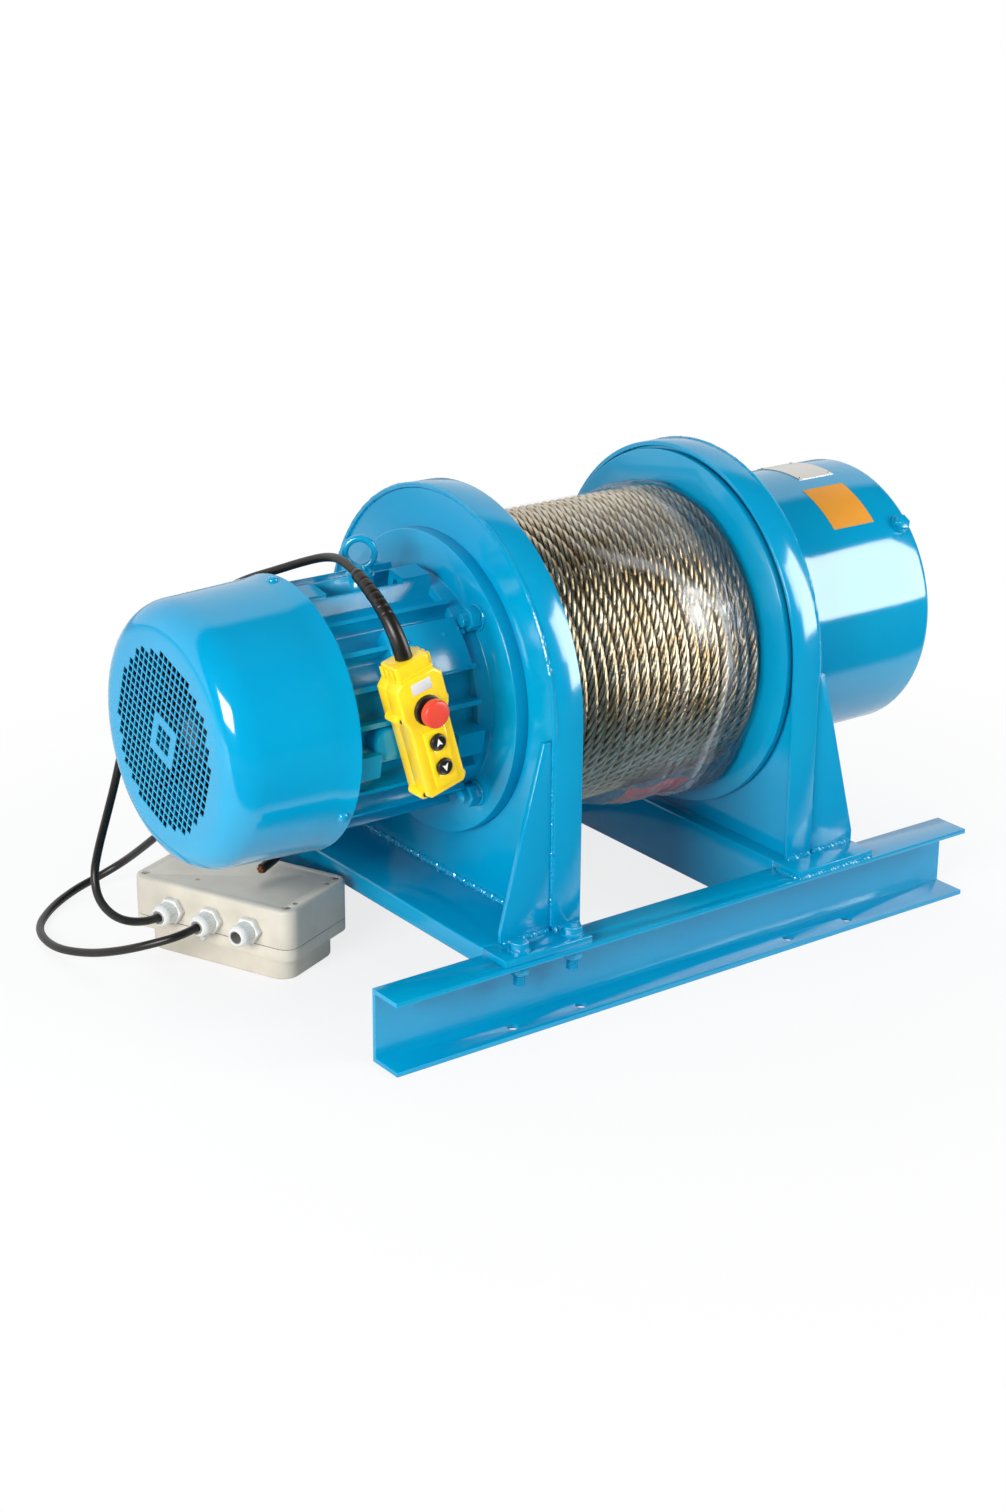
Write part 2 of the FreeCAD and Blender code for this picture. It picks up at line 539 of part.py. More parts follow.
def fan_cowl():
    """A deep-drawn cup with a little draft and a punched end: square holes with one plain square ring."""
    out, sheet = value("cowl_radius"), value("cowl_sheet")
    long, bend = value("cowl_long"), value("cowl_round")
    far = value("cowl_radius - cowl_taper")
    lip = far - bend
    half = math.sqrt(0.5)

    def bend_arc(radius):
        centre = V(-long + bend, 0, lip)
        return Part.Arc(centre + V(0, 0, radius), centre + V(-radius * half, 0, radius * half),
                        centre + V(-radius, 0, 0))

    inner = bend - sheet
    spots = [V(0, 0, out - sheet), V(0, 0, out), V(-long + bend, 0, far), V(-long, 0, lip),
             V(-long + sheet, 0, lip), V(-long + bend, 0, far - sheet)]
    edges = [Part.LineSegment(spots[0], spots[1]), Part.LineSegment(spots[1], spots[2]), bend_arc(bend),
             Part.LineSegment(spots[3], spots[4]), bend_arc(inner), Part.LineSegment(spots[5], spots[0])]
    wall = Part.Face(Part.Wire(Part.__sortEdges__([edge.toShape() for edge in edges])))
    cup = wall.revolve(V(0, 0, 0), X_AXIS, 360)
    pitch, hole = value("grille_pitch"), value("grille_hole")
    reach = value("grille_radius") - hole / 2
    rows = int(reach / pitch) + 1
    wires = [Part.Wire(Part.makeCircle(lip, V(-long, 0, 0), X_AXIS))]
    turn = math.radians(value("grille_turn"))
    one, two = V(0, math.cos(turn), math.sin(turn)), V(0, -math.sin(turn), math.cos(turn))
    for i in range(-rows, rows + 1):
        for j in range(-rows, rows + 1):
            middle = one * (i * pitch) + two * (j * pitch)
            if max(abs(i), abs(j)) != 2 and middle.Length < reach:
                middle += V(-long, 0, 0)
                corners = [middle + (one * a + two * b) * (hole / 2) for a, b in ((1, 1), (-1, 1), (-1, -1),
                                                                                  (1, -1))]
                wires.append(Part.makePolygon(corners + corners[:1]))
    face = Part.Face(wires[0])
    face = Part.Face(wires, "Part::FaceMakerBullseye") if len(wires) > 1 else face
    cowl = cup.fuse(face.extrude(V(sheet, 0, 0))).removeSplitter()
    cowl = cowl.Solids[0]
    drill = value("screw_dia/2 + bolt_room")
    for angle in (0, 120, 240):
        out_way = around(angle, 1) - V(0, 0, value(AXIS))
        start = out_way * (out - 3 * sheet) + V(-value("screw_inset"), 0, 0)
        cowl = cowl.cut(rod(start, out_way, drill, 5 * sheet))
    return shape_node("fan_cowl", cowl, FreeCAD.Placement(V(value(COWL_START), 0, value(AXIS)),
                                                          FreeCAD.Rotation()))


def cowl_screws():
    shapes = []
    arm_top = value("arm_tip")
    reach = value("cowl_radius - cowl_slope*screw_inset + weld_gap")
    head, radius = value("screw_head/2"), value("screw_dia/2")
    for angle in (0, 120, 240):
        out_way = around(angle, 1) - V(0, 0, value(AXIS))
        foot = around(angle, arm_top, value(COWL_START) - value("screw_inset"))
        top = around(angle, reach, value(COWL_START) - value("screw_inset"))
        shank = rod(foot, out_way, radius, reach - arm_top)
        shapes.append(shank.fuse(rod(top, out_way, head, radius)).removeSplitter())
    return shape_node("cowl_screws", group(shapes))


def flange_studs():
    shapes = []
    face = value(MOTOR_FACE) - value("flange_thick")
    washer, nut, end = value("washer_thick"), value("stud_nut"), value("stud_end")
    radius, bore = value("stud_dia/2"), value("stud_dia/2 + fit_gap")
    back = V(-1, 0, 0)
    for quarter in range(4):
        at = around(value("stud_turn") + 90 * quarter, value("stud_circle"), face)
        shapes.append(rod(at - back * value("flange_thick"), back, radius,
                          value("flange_thick") + washer + nut + end))
        shapes.append(rod(at, back, value("stud_washer/2"), washer).cut(rod(at, back, bore, washer)))
        seat = at + back * washer
        shapes.append(hexagon(seat, back, value("stud_flats"), nut).cut(rod(seat, back, bore, nut)))
    return shape_node("flange_studs", group(shapes))


def lifting_eye():
    mid, wire = value("eye_mid"), value("eye_wire/2")
    seat = value(AXIS) + value("boss_high")
    x = value(FRAME_START) - value("eye_x")
    turn = math.radians(value("eye_turn"))
    centre = V(x, 0, seat + mid + wire + wire)
    eye = Part.makeTorus(mid, wire, centre, V(math.sin(turn), math.cos(turn), 0))
    foot = Part.makeCone(value("boss_radius") - wire / 2, wire * 1.2, wire * 2.5, V(x, 0, seat))
    return shape_node("lifting_eye", eye.fuse(foot).removeSplitter())


def terminal_box():
    body = place(new_body("terminal_box"), x=f"{FRAME_START} - terminal_shift", z=AXIS)
    outline = rounded(sketch_on(body, "XZ", "-terminal_face - terminal_deep"), "terminal_long",
                      "terminal_high", "fin_thick")
    pad(body, outline, "terminal_deep")
    inside = sketch_on(body, "XZ", "-terminal_face - terminal_deep")
    rectangle(inside, "0", "0", "terminal_long - 4*terminal_wall", "terminal_high - 4*terminal_wall")
    pocket(body, inside, "terminal_deep - terminal_wall", back=True)
    node(body, "terminal_box")
    lid = place(new_body("terminal_box_lid"), x=f"{FRAME_START} - terminal_shift", z=AXIS)
    cover = rounded(sketch_on(lid, "XZ", "-terminal_face - terminal_deep - terminal_lid"), "terminal_long",
                    "terminal_high", "fin_thick")
    block = pad(lid, cover, "terminal_lid")
    DOC.recompute()
    far = value("terminal_face + terminal_deep + terminal_lid")
    edges = [f"Edge{i + 1}" for i, edge in enumerate(block.Shape.Edges)
             if abs(edge.BoundBox.YMin - far) < 0.01]
    rim = lid.newObject("PartDesign::Fillet", "RoundedRim")
    rim.Base = (block, edges)
    bind(rim, "Radius", "terminal_wall")
    node(lid, "terminal_box_lid")


def cooling_fan():
    hub = "(shaft_dia/2 + fit_gap)"
    start = f"{REAR_START} - rear_thick - brake_long - brake_gap - brake_disc - fan_room"
    plate = [("0", hub), ("0", "fan_radius"), ("-fan_sheet", "fan_radius"), ("-fan_sheet", f"2*{hub}"),
             ("-fan_long", f"2*{hub}"), ("-fan_long", hub)]
    body = turned("cooling_fan", [plate], x=start)
    low = f"(1.8*{hub})"
    spread("blades", body, lambda s: rectangle(s, "0", f"({low} + fan_radius)/2", "fan_sheet",
                                               f"fan_radius - {low}"),
           "fan_blades", "fan_long", "-fan_long", "0")


motor_flange_shield()
motor_frame()
motor_rear_shield()
fan_cowl()
cowl_screws()
flange_studs()
lifting_eye()
terminal_box()
cooling_fan()

STATOR_NEAR, STATOR_FAR = "-stator_start", "(-stator_start - stator_long)"
turned("stator", [
    ring(STATOR_NEAR, STATOR_FAR, "stator_bore", "frame_bore - weld_gap"),
    ring(STATOR_NEAR, "-stator_start + winding_long", "stator_bore + fin_thick", "frame_bore - fin_thick"),
    ring(STATOR_FAR, f"{STATOR_FAR} - winding_long", "stator_bore + fin_thick", "frame_bore - fin_thick")],
    x=FRAME_START)
turned("rotor_core", [ring(STATOR_NEAR, STATOR_FAR, f"{SHAFT_R} + fit_gap", "stator_bore - air_gap")],
       x=FRAME_START)
REAR_BEARING = ring(REAR_START, f"{REAR_START} + bearing_wide", f"{SHAFT_R} + fit_gap", "bearing_dia/2")
FRONT_BEARING = ring(f"{MOTOR_FACE} - shield_wall", f"{MOTOR_FACE} - shield_wall - bearing_wide",
                     f"{SHAFT_R} + fit_gap", "bearing_dia/2")
turned("motor_bearings", [REAR_BEARING, FRONT_BEARING])
BRAKE_FACE = f"({REAR_START} - rear_thick)"
turned("brake_magnet", [ring("0", "-brake_long", f"{SHAFT_HOLE} + shaft_room", "brake_radius")], x=BRAKE_FACE)
turned("brake_disc", [ring("-brake_long - brake_gap", "-brake_long - brake_gap - brake_disc",
                           f"{SHAFT_R} + fit_gap", "brake_radius")], x=BRAKE_FACE)


# Drum: barrel, end discs, hub, rope and the clear film round it.
turned("drum_barrel", [ring(f"-{BARREL_HALF}", BARREL_HALF, "barrel_radius - barrel_wall", "barrel_radius")],
       x="drum_shift")
DISC_BORE = "barrel_radius + fit_gap"
turned("drum_discs", [ring(f"-{BARREL_HALF}", "-drum_long/2", DISC_BORE, "disc_radius"),
                      ring("drum_long/2", BARREL_HALF, DISC_BORE, "disc_radius")], x="drum_shift")
WEB_R = "barrel_radius - barrel_wall - fit_gap"
WEB_OUT, WEB_IN = "(drum_long/2 - web_inset)", "(drum_long/2 - web_inset - web_thick)"
JOURNAL_R = "(journal_dia/2)"
turned("drum_hub", [[(f"-{HOUSING_END} - shaft_room", SHAFT_HOLE),
                     (f"-{HOUSING_END} - shaft_room", JOURNAL_R),
                     (f"-{WEB_OUT}", JOURNAL_R), (f"-{WEB_OUT}", WEB_R), (f"-{WEB_IN}", WEB_R),
                     (f"-{WEB_IN}", SHAFT_HOLE)]], x="drum_shift")
turned("drum_bearings", [ring(f"-{HOUSING_END}", f"-{PLATE_NEAR}", f"{JOURNAL_R} + fit_gap",
                              "drum_bearing/2"),
                         ring(PLATE_NEAR, HOUSING_END, f"{JOURNAL_R} + fit_gap", "drum_bearing/2")],
                         x="drum_shift")


def wire_rope():
    """One layer of turns, as a solid whose outline has a half round for each turn."""
    low, mid = value("barrel_radius + fit_gap"), value("barrel_radius + rope_layer")
    half, pitch, turns = value("drum_long/2"), value(ROPE_PITCH), int(value("rope_turns"))
    room = value("film_room")
    left = V(-half + room, 0, mid)
    edges = [Part.LineSegment(V(left.x, 0, low), left)]
    start = left
    for turn in range(turns):
        middle = V(-half + pitch * (turn + 0.5), 0, mid + pitch / 2)
        end = V(min(-half + pitch * (turn + 1), half - room), 0, mid)
        edges.append(Part.Arc(start, middle, end))
        start = end
    edges += [Part.LineSegment(start, V(start.x, 0, low)),
              Part.LineSegment(V(start.x, 0, low), V(left.x, 0, low))]
    wire = Part.Wire([edge.toShape() for edge in edges])
    solid = Part.Face(wire).revolve(V(0, 0, 0), X_AXIS, 360)
    at = FreeCAD.Placement(V(value("drum_shift"), 0, value(AXIS)), FreeCAD.Rotation())
    return shape_node("wire_rope", solid, at)


wire_rope()
turned("stretch_film", [ring("-drum_long/2 + film_end", "drum_long/2 - film_end", f"{ROPE_TOP} + film_room",
                             f"{ROPE_TOP} + film_room + film_thick")], x="drum_shift")


# Gearbox: two planetary stages in one long ring gear, under a drawn cover.
def involute(angle):
    return math.tan(angle) - angle


def gear_outline(teeth, tip, root, play):
    """A gear's outline about X, with a tooth at the top; three points to a flank."""
    pitch = value("gear_module") * teeth / 2
    base = pitch * math.cos(math.radians(20))
    half = math.pi / (2 * teeth) - play / pitch + involute(math.radians(20))

    def flank(radius):
        return half - involute(math.acos(min(1.0, base / max(radius, base))))

    corners = []
    for tooth in range(teeth):
        middle = 2 * math.pi * tooth / teeth
        for radius, side in ((root, -1), (pitch, -1), (tip, -1), (tip, 1), (pitch, 1), (root, 1)):
            angle = middle + side * flank(radius)
            corners.append(V(0, -radius * math.sin(angle), radius * math.cos(angle)))
    return Part.Face(Part.makePolygon(corners + corners[:1]))


def gear(teeth, start, wide):
    """A spur gear on the X axis with short teeth."""
    module, play = value("gear_module"), value("tooth_play")
    pitch = module * teeth / 2
    face = gear_outline(teeth, pitch + 0.8 * module, pitch - module, play)
    return face.extrude(V(wide, 0, 0)).translated(V(start, 0, 0))


def on_axis(shape, angle=0, arm=0):
    """Lifts a shape to the drum axis, out along an arm and round by an angle from the top."""
    turned_shape = shape.translated(V(0, 0, arm))
    turned_shape.rotate(V(0, 0, 0), X_AXIS, angle)
    return turned_shape.translated(V(0, 0, value(AXIS)))


def drive_shaft():
    sun_start = value(CARRIER_ONE) + value("carrier_thick + planet_gap/2")
    end = value(GEAR_END) + value("planet_gap")
    fan_end = value(f"{REAR_START} - rear_thick - brake_long - brake_gap - brake_disc - fan_room")
    fan_end -= value("fan_long")
    shaft = rod(V(fan_end - value("planet_gap"), 0, 0), X_AXIS, value(SHAFT_R),
                end - fan_end + value("planet_gap"))
    sun = gear(int(value("sun_teeth")), sun_start, value("first_wide + planet_gap"))
    return shape_node("drive_shaft", on_axis(shaft.fuse(sun).removeSplitter()))


def pins(shape, start, length):
    for third in range(3):
        pin_rod = rod(V(start, 0, value(CARRIER_ARM)), X_AXIS, value("pin_dia/2"), length)
        pin_rod.rotate(V(0, 0, 0), X_AXIS, 120 * third)
        shape = shape.fuse(pin_rod)
    return shape.removeSplitter()


def first_carrier():
    start, thick = value(CARRIER_ONE), value("carrier_thick")
    plate = rod(V(start, 0, 0), X_AXIS, value("carrier_radius"), thick)
    sun_start = value(PLANETS_TWO) - value("planet_gap/2")
    plate = plate.fuse(gear(int(value("sun_teeth")), sun_start, start - sun_start))
    bore = rod(V(sun_start, 0, 0), X_AXIS, value(f"{SHAFT_R} + fit_gap"), start + thick - sun_start)
    carrier = pins(plate.cut(bore), start + thick, value("planet_gap + first_wide"))
    return shape_node("first_carrier", on_axis(carrier))


def second_carrier():
    mid = value("drum_shift")
    web_in, web_out = mid + value(WEB_IN), mid + value(WEB_OUT)
    start, thick = value(CARRIER_TWO), value("carrier_thick")
    shape = rod(V(web_in, 0, 0), X_AXIS, value(WEB_R), web_out - web_in)
    shape = shape.fuse(rod(V(web_in, 0, 0), X_AXIS, value(JOURNAL_R), start - web_in))
    shape = shape.fuse(rod(V(start, 0, 0), X_AXIS, value("carrier_radius"), thick))
    shape = shape.cut(rod(V(web_in, 0, 0), X_AXIS, value(SHAFT_HOLE), start + thick - web_in))
    carrier = pins(shape, start + thick, value("planet_gap + second_wide"))
    return shape_node("second_carrier", on_axis(carrier))


def planets(stage, start, wide):
    bore = rod(V(start, 0, 0), X_AXIS, value("pin_dia/2 + fit_gap"), wide)
    blank = gear(int(value("planet_teeth")), start, wide).cut(bore)
    for third, letter in enumerate("abc"):
        shape_node(f"{stage}_planet_{letter}", on_axis(blank, 120 * third, value(CARRIER_ARM)))


def ring_gear():
    module, teeth = value("gear_module"), int(value("ring_teeth"))
    pitch, long = module * teeth / 2, value("ring_long")
    space = gear_outline(teeth, pitch + module, pitch - 0.8 * module,
                         -value("tooth_play")).extrude(V(long, 0, 0))
    blank = rod(V(0, 0, 0), X_AXIS, value("ring_radius"), long).cut(space)
    return shape_node("ring_gear", on_axis(blank.translated(V(value(GEAR_FACE), 0, 0))))


def gearbox_cover():
    out, bend = "cover_radius", "cover_round"
    inner = "(cover_radius - cover_wall)"
    step = "(cover_radius + cover_step)"
    chamfer = 0.3
    profile = [("0", inner), ("0", step), ("cover_step_long", step), ("cover_step_long", out),
               (f"cover_long - {bend}", out), (f"cover_long - {chamfer}*{bend}", f"{out} - {chamfer}*{bend}"),
               ("cover_long", f"{out} - {bend}"), ("cover_long", "0"), ("cover_long - cover_wall", "0"),
               ("cover_long - cover_wall", f"{out} - {bend} - cover_wall/2"),
               (f"cover_long - cover_wall - {bend}/2", inner)]
    turned("gearbox_cover", [profile], x=GEAR_FACE)


def oil_plug():
    x = value(GEAR_FACE) + value("cover_long - plug_inset - cover_round")
    seat = around(value("plug_turn"), value("cover_radius") + value("weld_gap"), x)
    way = around(value("plug_turn"), 1) - V(0, 0, value(AXIS))
    flats, high = value("plug_flats"), value("plug_high")
    plug = hexagon(seat + way * (high / 4), way, flats, high * 0.75)
    return shape_node("oil_plug", plug.fuse(rod(seat, way, flats * 0.62, high / 4)).removeSplitter())


drive_shaft()
first_carrier()
second_carrier()
planets("second", value(PLANETS_TWO), value("second_wide"))
planets("first", value(PLANETS_ONE), value("first_wide"))
ring_gear()
gearbox_cover()
oil_plug()


# Control box on the floor under the motor, turned about the vertical.
def box_place():
    return FreeCAD.Placement(V(value("box_x"), value("box_y"), 0),
                             FreeCAD.Rotation(V(0, 0, 1), value("box_turn")))


PILLARS = [(f"{i}*(lid_deep/2 - pillar_inset)", f"{j}*(lid_long/2 - pillar_inset)")
           for i in (-1, 1) for j in (-1, 1)]
GLAND_ROWS = [f"(gland_first - {i}*gland_pitch)" for i in range(3)]


def control_box():
    base = new_body("control_box_base")
    base.Placement = box_place()
    pad(base, rounded(sketch_on(base, "XY"), "tray_deep", "tray_long", "tray_corner"), "tray_high")
    pad(base, rounded(sketch_on(base, "XY", "tray_high"), "lid_deep", "lid_long", "lid_corner"), "lip_high")
    inside = rounded(sketch_on(base, "XY", SPLIT_Z), "(tray_deep - 2*box_wall)", "(tray_long - 2*box_wall)",
                     "(tray_corner - box_wall)")
    pocket(base, inside, f"{SPLIT_Z} - box_wall")
    node(base, "control_box_base")
    lid = new_body("control_box_lid")
    lid.Placement = box_place()
    pad(lid, rounded(sketch_on(lid, "XY", SPLIT_Z), "lid_deep", "lid_long", "lid_corner"), "lid_high")
    inside = rounded(sketch_on(lid, "XY", SPLIT_Z), "(lid_deep - 2*box_wall)", "(lid_long - 2*box_wall)",
                     "(lid_corner - box_wall)")
    pocket(lid, inside, "lid_high - box_wall", back=True)
    posts = sketch_on(lid, "XY", SPLIT_Z)
    sinks = sketch_on(lid, "XY", LID_TOP)
    for x, y in PILLARS:
        circle(posts, x, y, "pillar_radius")
        circle(sinks, x, y, "recess_radius")
    pad(lid, posts, "lid_high")
    pocket(lid, sinks, "recess_deep")
    holes = sketch_on(lid, "YZ", "-lid_deep/2")
    for y in GLAND_ROWS:
        circle(holes, y, "gland_high", "gland_thread/2 + fit_gap")
    pocket(lid, holes, "box_wall", back=True)
    node(lid, "control_box_lid")


def lid_screws():
    floor, head = value(f"{LID_TOP} - recess_deep"), value("recess_radius - button_play")
    shapes = []
    for x, y in PILLARS:
        screw = rod(V(value(x), value(y), floor), V(0, 0, 1), head, value("recess_deep - button_play"))
        slot = Part.makeBox(2 * head, 1, 1,
                            V(value(x) - head, value(y) - 0.5, value(f"{LID_TOP} - button_play - 1")))
        shapes.append(screw.cut(slot))
    return shape_node("lid_screws", group(shapes), box_place())


def gland(used):
    """A cable gland on the X axis: it looks along -X and its flange seats at x = 0."""
    out = V(-1, 0, 0)
    hexes, dome = value("gland_hex"), value("gland_dome")
    shape = hexagon(V(0, 0, 0), out, value("gland_flats"), hexes)
    shape = shape.fuse(rod(V(-hexes, 0, 0), out, value("gland_dome_dia/2"), dome))
    shape = shape.fuse(rod(V(0, 0, 0), X_AXIS, value("gland_thread/2"), value("gland_tail")))
    mouth = hexes + dome
    deep = value("gland_grip" if used else "gland_spare")
    return shape.cut(rod(V(-mouth, 0, 0), X_AXIS, value("gland_bore/2"), deep)).removeSplitter()


def terminal_gland_spots():
    """Where the two glands under the terminal box seat, and the way their cables leave."""
    y = value("terminal_face + terminal_deep/2")
    z = value(AXIS) - value("terminal_high/2")
    mid = value(FRAME_START) - value("terminal_shift")
    return [V(mid - value("gland_flats"), y, z), V(mid + value("gland_flats"), y, z)]


def cable_glands():
    shapes = []
    for i, y in enumerate(GLAND_ROWS):
        part = gland(used=i < 2).translated(V(value("-lid_deep/2"), value(y), value("gland_high")))
        part.Placement = box_place().multiply(part.Placement)
        shapes.append(part)
    for spot in terminal_gland_spots():
        part = gland(used=True).common(Part.makeBox(100, 100, 100, V(-100, -50, -50)))
        part.Placement = FreeCAD.Placement(spot, FreeCAD.Rotation(V(-1, 0, 0), V(0, 0, -1)))
        shapes.append(part)
    return shape_node("cable_glands", group(shapes))


def contactors():
    wide, long, high = value("contactor_wide"), value("contactor_long"), value("contactor_high")
    shapes = []
    for side in (-1, 1):
        corner = V(-wide / 2, side * long * 0.55 - long / 2, value("box_wall"))
        block = Part.makeBox(wide, long, high * 0.6, corner)
        head = Part.makeBox(wide * 0.6, long, high * 0.4, corner + V(wide * 0.2, 0, high * 0.6))
        shapes.append(block.fuse(head).removeSplitter())
    return shape_node("contactors", group(shapes), box_place())


control_box()
lid_screws()
cable_glands()
contactors()


# Pendant control, leaning on the motor's fins. Its own frame has its back at y = 0.
def pendant_place():
    lean = FreeCAD.Rotation(V(0, 1, 0), -value("pendant_lean"))
    return FreeCAD.Placement(V(value("pendant_x"), value("pendant_y"), value("pendant_z")), lean)


def pendant_outline(sketch, grow="0"):
    half = [(f"pendant_wide/2 - pendant_round - {grow}", f"0 + {grow}"),
            (f"pendant_wide/2 - {grow}", f"pendant_round + {grow}"),
            (f"pendant_wide/2 - {grow}", "waist_low"),
            (f"pendant_shoulder/2 - {grow}", "waist_high"),
            (f"pendant_shoulder/2 - {grow}", "pendant_high - 2*pendant_round"),
            (f"pendant_shoulder/2 - 2*pendant_round - {grow}", f"pendant_high - {grow}")]
    return polygon(sketch, half + [(f"-({x})", z) for x, z in reversed(half)])


def pendant_shells():
    front = new_body("pendant_front_shell")
    front.Placement = pendant_place()
    pad(front, pendant_outline(sketch_on(front, "XZ", "pendant_split")), "pendant_deep - pendant_split")
    strip = sketch_on(front, "XZ", "pendant_deep - pendant_wall")
    rectangle(strip, "0", "(strip_low + strip_high)/2", "strip_wide", "strip_high - strip_low")
    pad(front, strip, "pendant_wall + strip_proud")
    bush = circle(sketch_on(front, "XZ", "pendant_deep - pendant_wall"), "0", "estop_high", "estop_bush/2")
    pad(front, bush, "pendant_wall + estop_bush_high")
    hollow = pendant_outline(sketch_on(front, "XZ", "pendant_split"), "pendant_wall")
    pocket(front, hollow, "pendant_deep - pendant_split - pendant_wall", back=True)
    holes = sketch_on(front, "XZ", "pendant_deep + strip_proud + estop_bush_high")
    circle(holes, "0", "up_high", "button_dia/2 + button_play")
    circle(holes, "0", "down_high", "button_dia/2 + button_play")
    circle(holes, "0", "estop_high", "estop_stem/2 + fit_gap")
    pocket(front, holes, "strip_proud + estop_bush_high + pendant_wall")
    node(front, "pendant_front_shell")
    back = new_body("pendant_back_shell")
    back.Placement = pendant_place()
    pad(back, pendant_outline(sketch_on(back, "XZ")), "pendant_split")
    hollow = pendant_outline(sketch_on(back, "XZ", "pendant_split"), "pendant_wall")
    pocket(back, hollow, "pendant_split - pendant_wall")
    seat = sketch_on(back, "XZ", "pendant_wall")
    for high in ("up_high", "down_high", "estop_high"):
        circle(seat, "0", high, "estop_stem/2")
    pad(back, seat, "pendant_split - pendant_wall - button_depth")
    node(back, "pendant_back_shell")
    collar = new_body("pendant_collar")
    collar.Placement = pendant_place()
    outline = sketch_on(collar, "XY", "pendant_high")
    outline.AttachmentOffset = FreeCAD.Placement(V(0, value("-pendant_deep/2"), value("pendant_high")),
                                                 FreeCAD.Rotation())
    pad(collar, rounded(outline, "collar_wide", "collar_deep", "pendant_round"), "collar_high")
    node(collar, "pendant_collar")


def push_button(label, high):
    """A round button on a stem: its head fills the strip's hole, and a rim inside holds it."""
    body = new_body(label)
    body.Placement = pendant_place()
    pad(body, circle(sketch_on(body, "XZ", "pendant_deep - pendant_wall - button_play"), "0", high,
                     "button_dia/2"),
        "pendant_wall + button_play + strip_proud + button_proud")
    rim = circle(sketch_on(body, "XZ", "pendant_deep - pendant_wall - button_play"), "0", high,
                 "button_dia/2 + 1")
    pad(body, rim, "1.5", back=True)
    stem = "pendant_deep - pendant_wall - button_play - pendant_split - 1.5"
    foot = circle(sketch_on(body, "XZ", "pendant_deep - pendant_wall - button_play - 1.5"), "0", high,
                  "estop_stem/4")
    pad(body, foot, stem, back=True)
    node(body, label)


def emergency_stop():
    stem = new_body("estop_stem")
    stem.Placement = pendant_place()
    pad(stem, circle(sketch_on(stem, "XZ", "pendant_split"), "0", "estop_high", "estop_stem/2"),
        "pendant_deep - pendant_split + estop_stand")
    node(stem, "estop_stem")
    knob = new_body("estop_knob")
    knob.Placement = pendant_place()
    pad(knob, circle(sketch_on(knob, "XZ", "pendant_deep + estop_stand"), "0", "estop_high", "estop_knob/2"),
        "estop_knob_high")
    node(knob, "estop_knob")


pendant_shells()
push_button("up_button", "up_high")
push_button("down_button", "down_high")
emergency_stop()


# Cords: straight runs joined by arcs as large as the runs allow.
def cord(label, points, diameter, share=0.45):
    points = [V(*point) for point in points]
    edges, start, radii = [], points[0], []
    for before, corner, after in zip(points, points[1:], points[2:]):
        into, out = (before - corner), (after - corner)
        reach = share * min(into.Length, out.Length)
        into.normalize()
        out.normalize()
        turn = math.pi - into.getAngle(out)
        radius = reach / math.tan(turn / 2)
        inward = into + out
        inward.normalize()
        middle = corner + inward * (math.hypot(reach, radius) - radius)
        first, last = corner + into * reach, corner + out * reach
        edges += [Part.LineSegment(start, first).toShape(), Part.Arc(first, middle, last).toShape()]
        radii.append(round(radius, 1))
        start = last
    edges.append(Part.LineSegment(start, points[-1]).toShape())
    path = Part.Wire(edges)
    section = Part.Wire(Part.makeCircle(diameter / 2, points[0], points[1] - points[0]))
    tube = path.makePipeShell([section], True, False)
    filled = tube.Volume / (math.pi * diameter ** 2 / 4 * path.Length)
    print(f"{label}: length {path.Length:.0f} mm, volume share {filled:.3f}, radii {radii}")
    return shape_node(label, tube)


def gland_seat(index):
    """The point in a box gland's bore where its cable stops, and the way out."""
    mouth = value("-lid_deep/2 - gland_hex - gland_dome + gland_grip")
    spot = box_place().multVec(V(mouth, value(GLAND_ROWS[index]), value("gland_high")))
    return spot, box_place().Rotation.multVec(V(-1, 0, 0))


def past_motor(spots):
    """Points behind the motor's face, each as its distance from that face, y and z."""
    return [V(value(MOTOR_FACE) - back, y, z) for back, y, z in spots]


def round_cowl(spots):
    """Points round the motor: distance behind its face, angle from the top, height over the cowl."""
    return [around(angle, value("cowl_radius") + over, value(MOTOR_FACE) - back) for back, angle,
            over in spots]


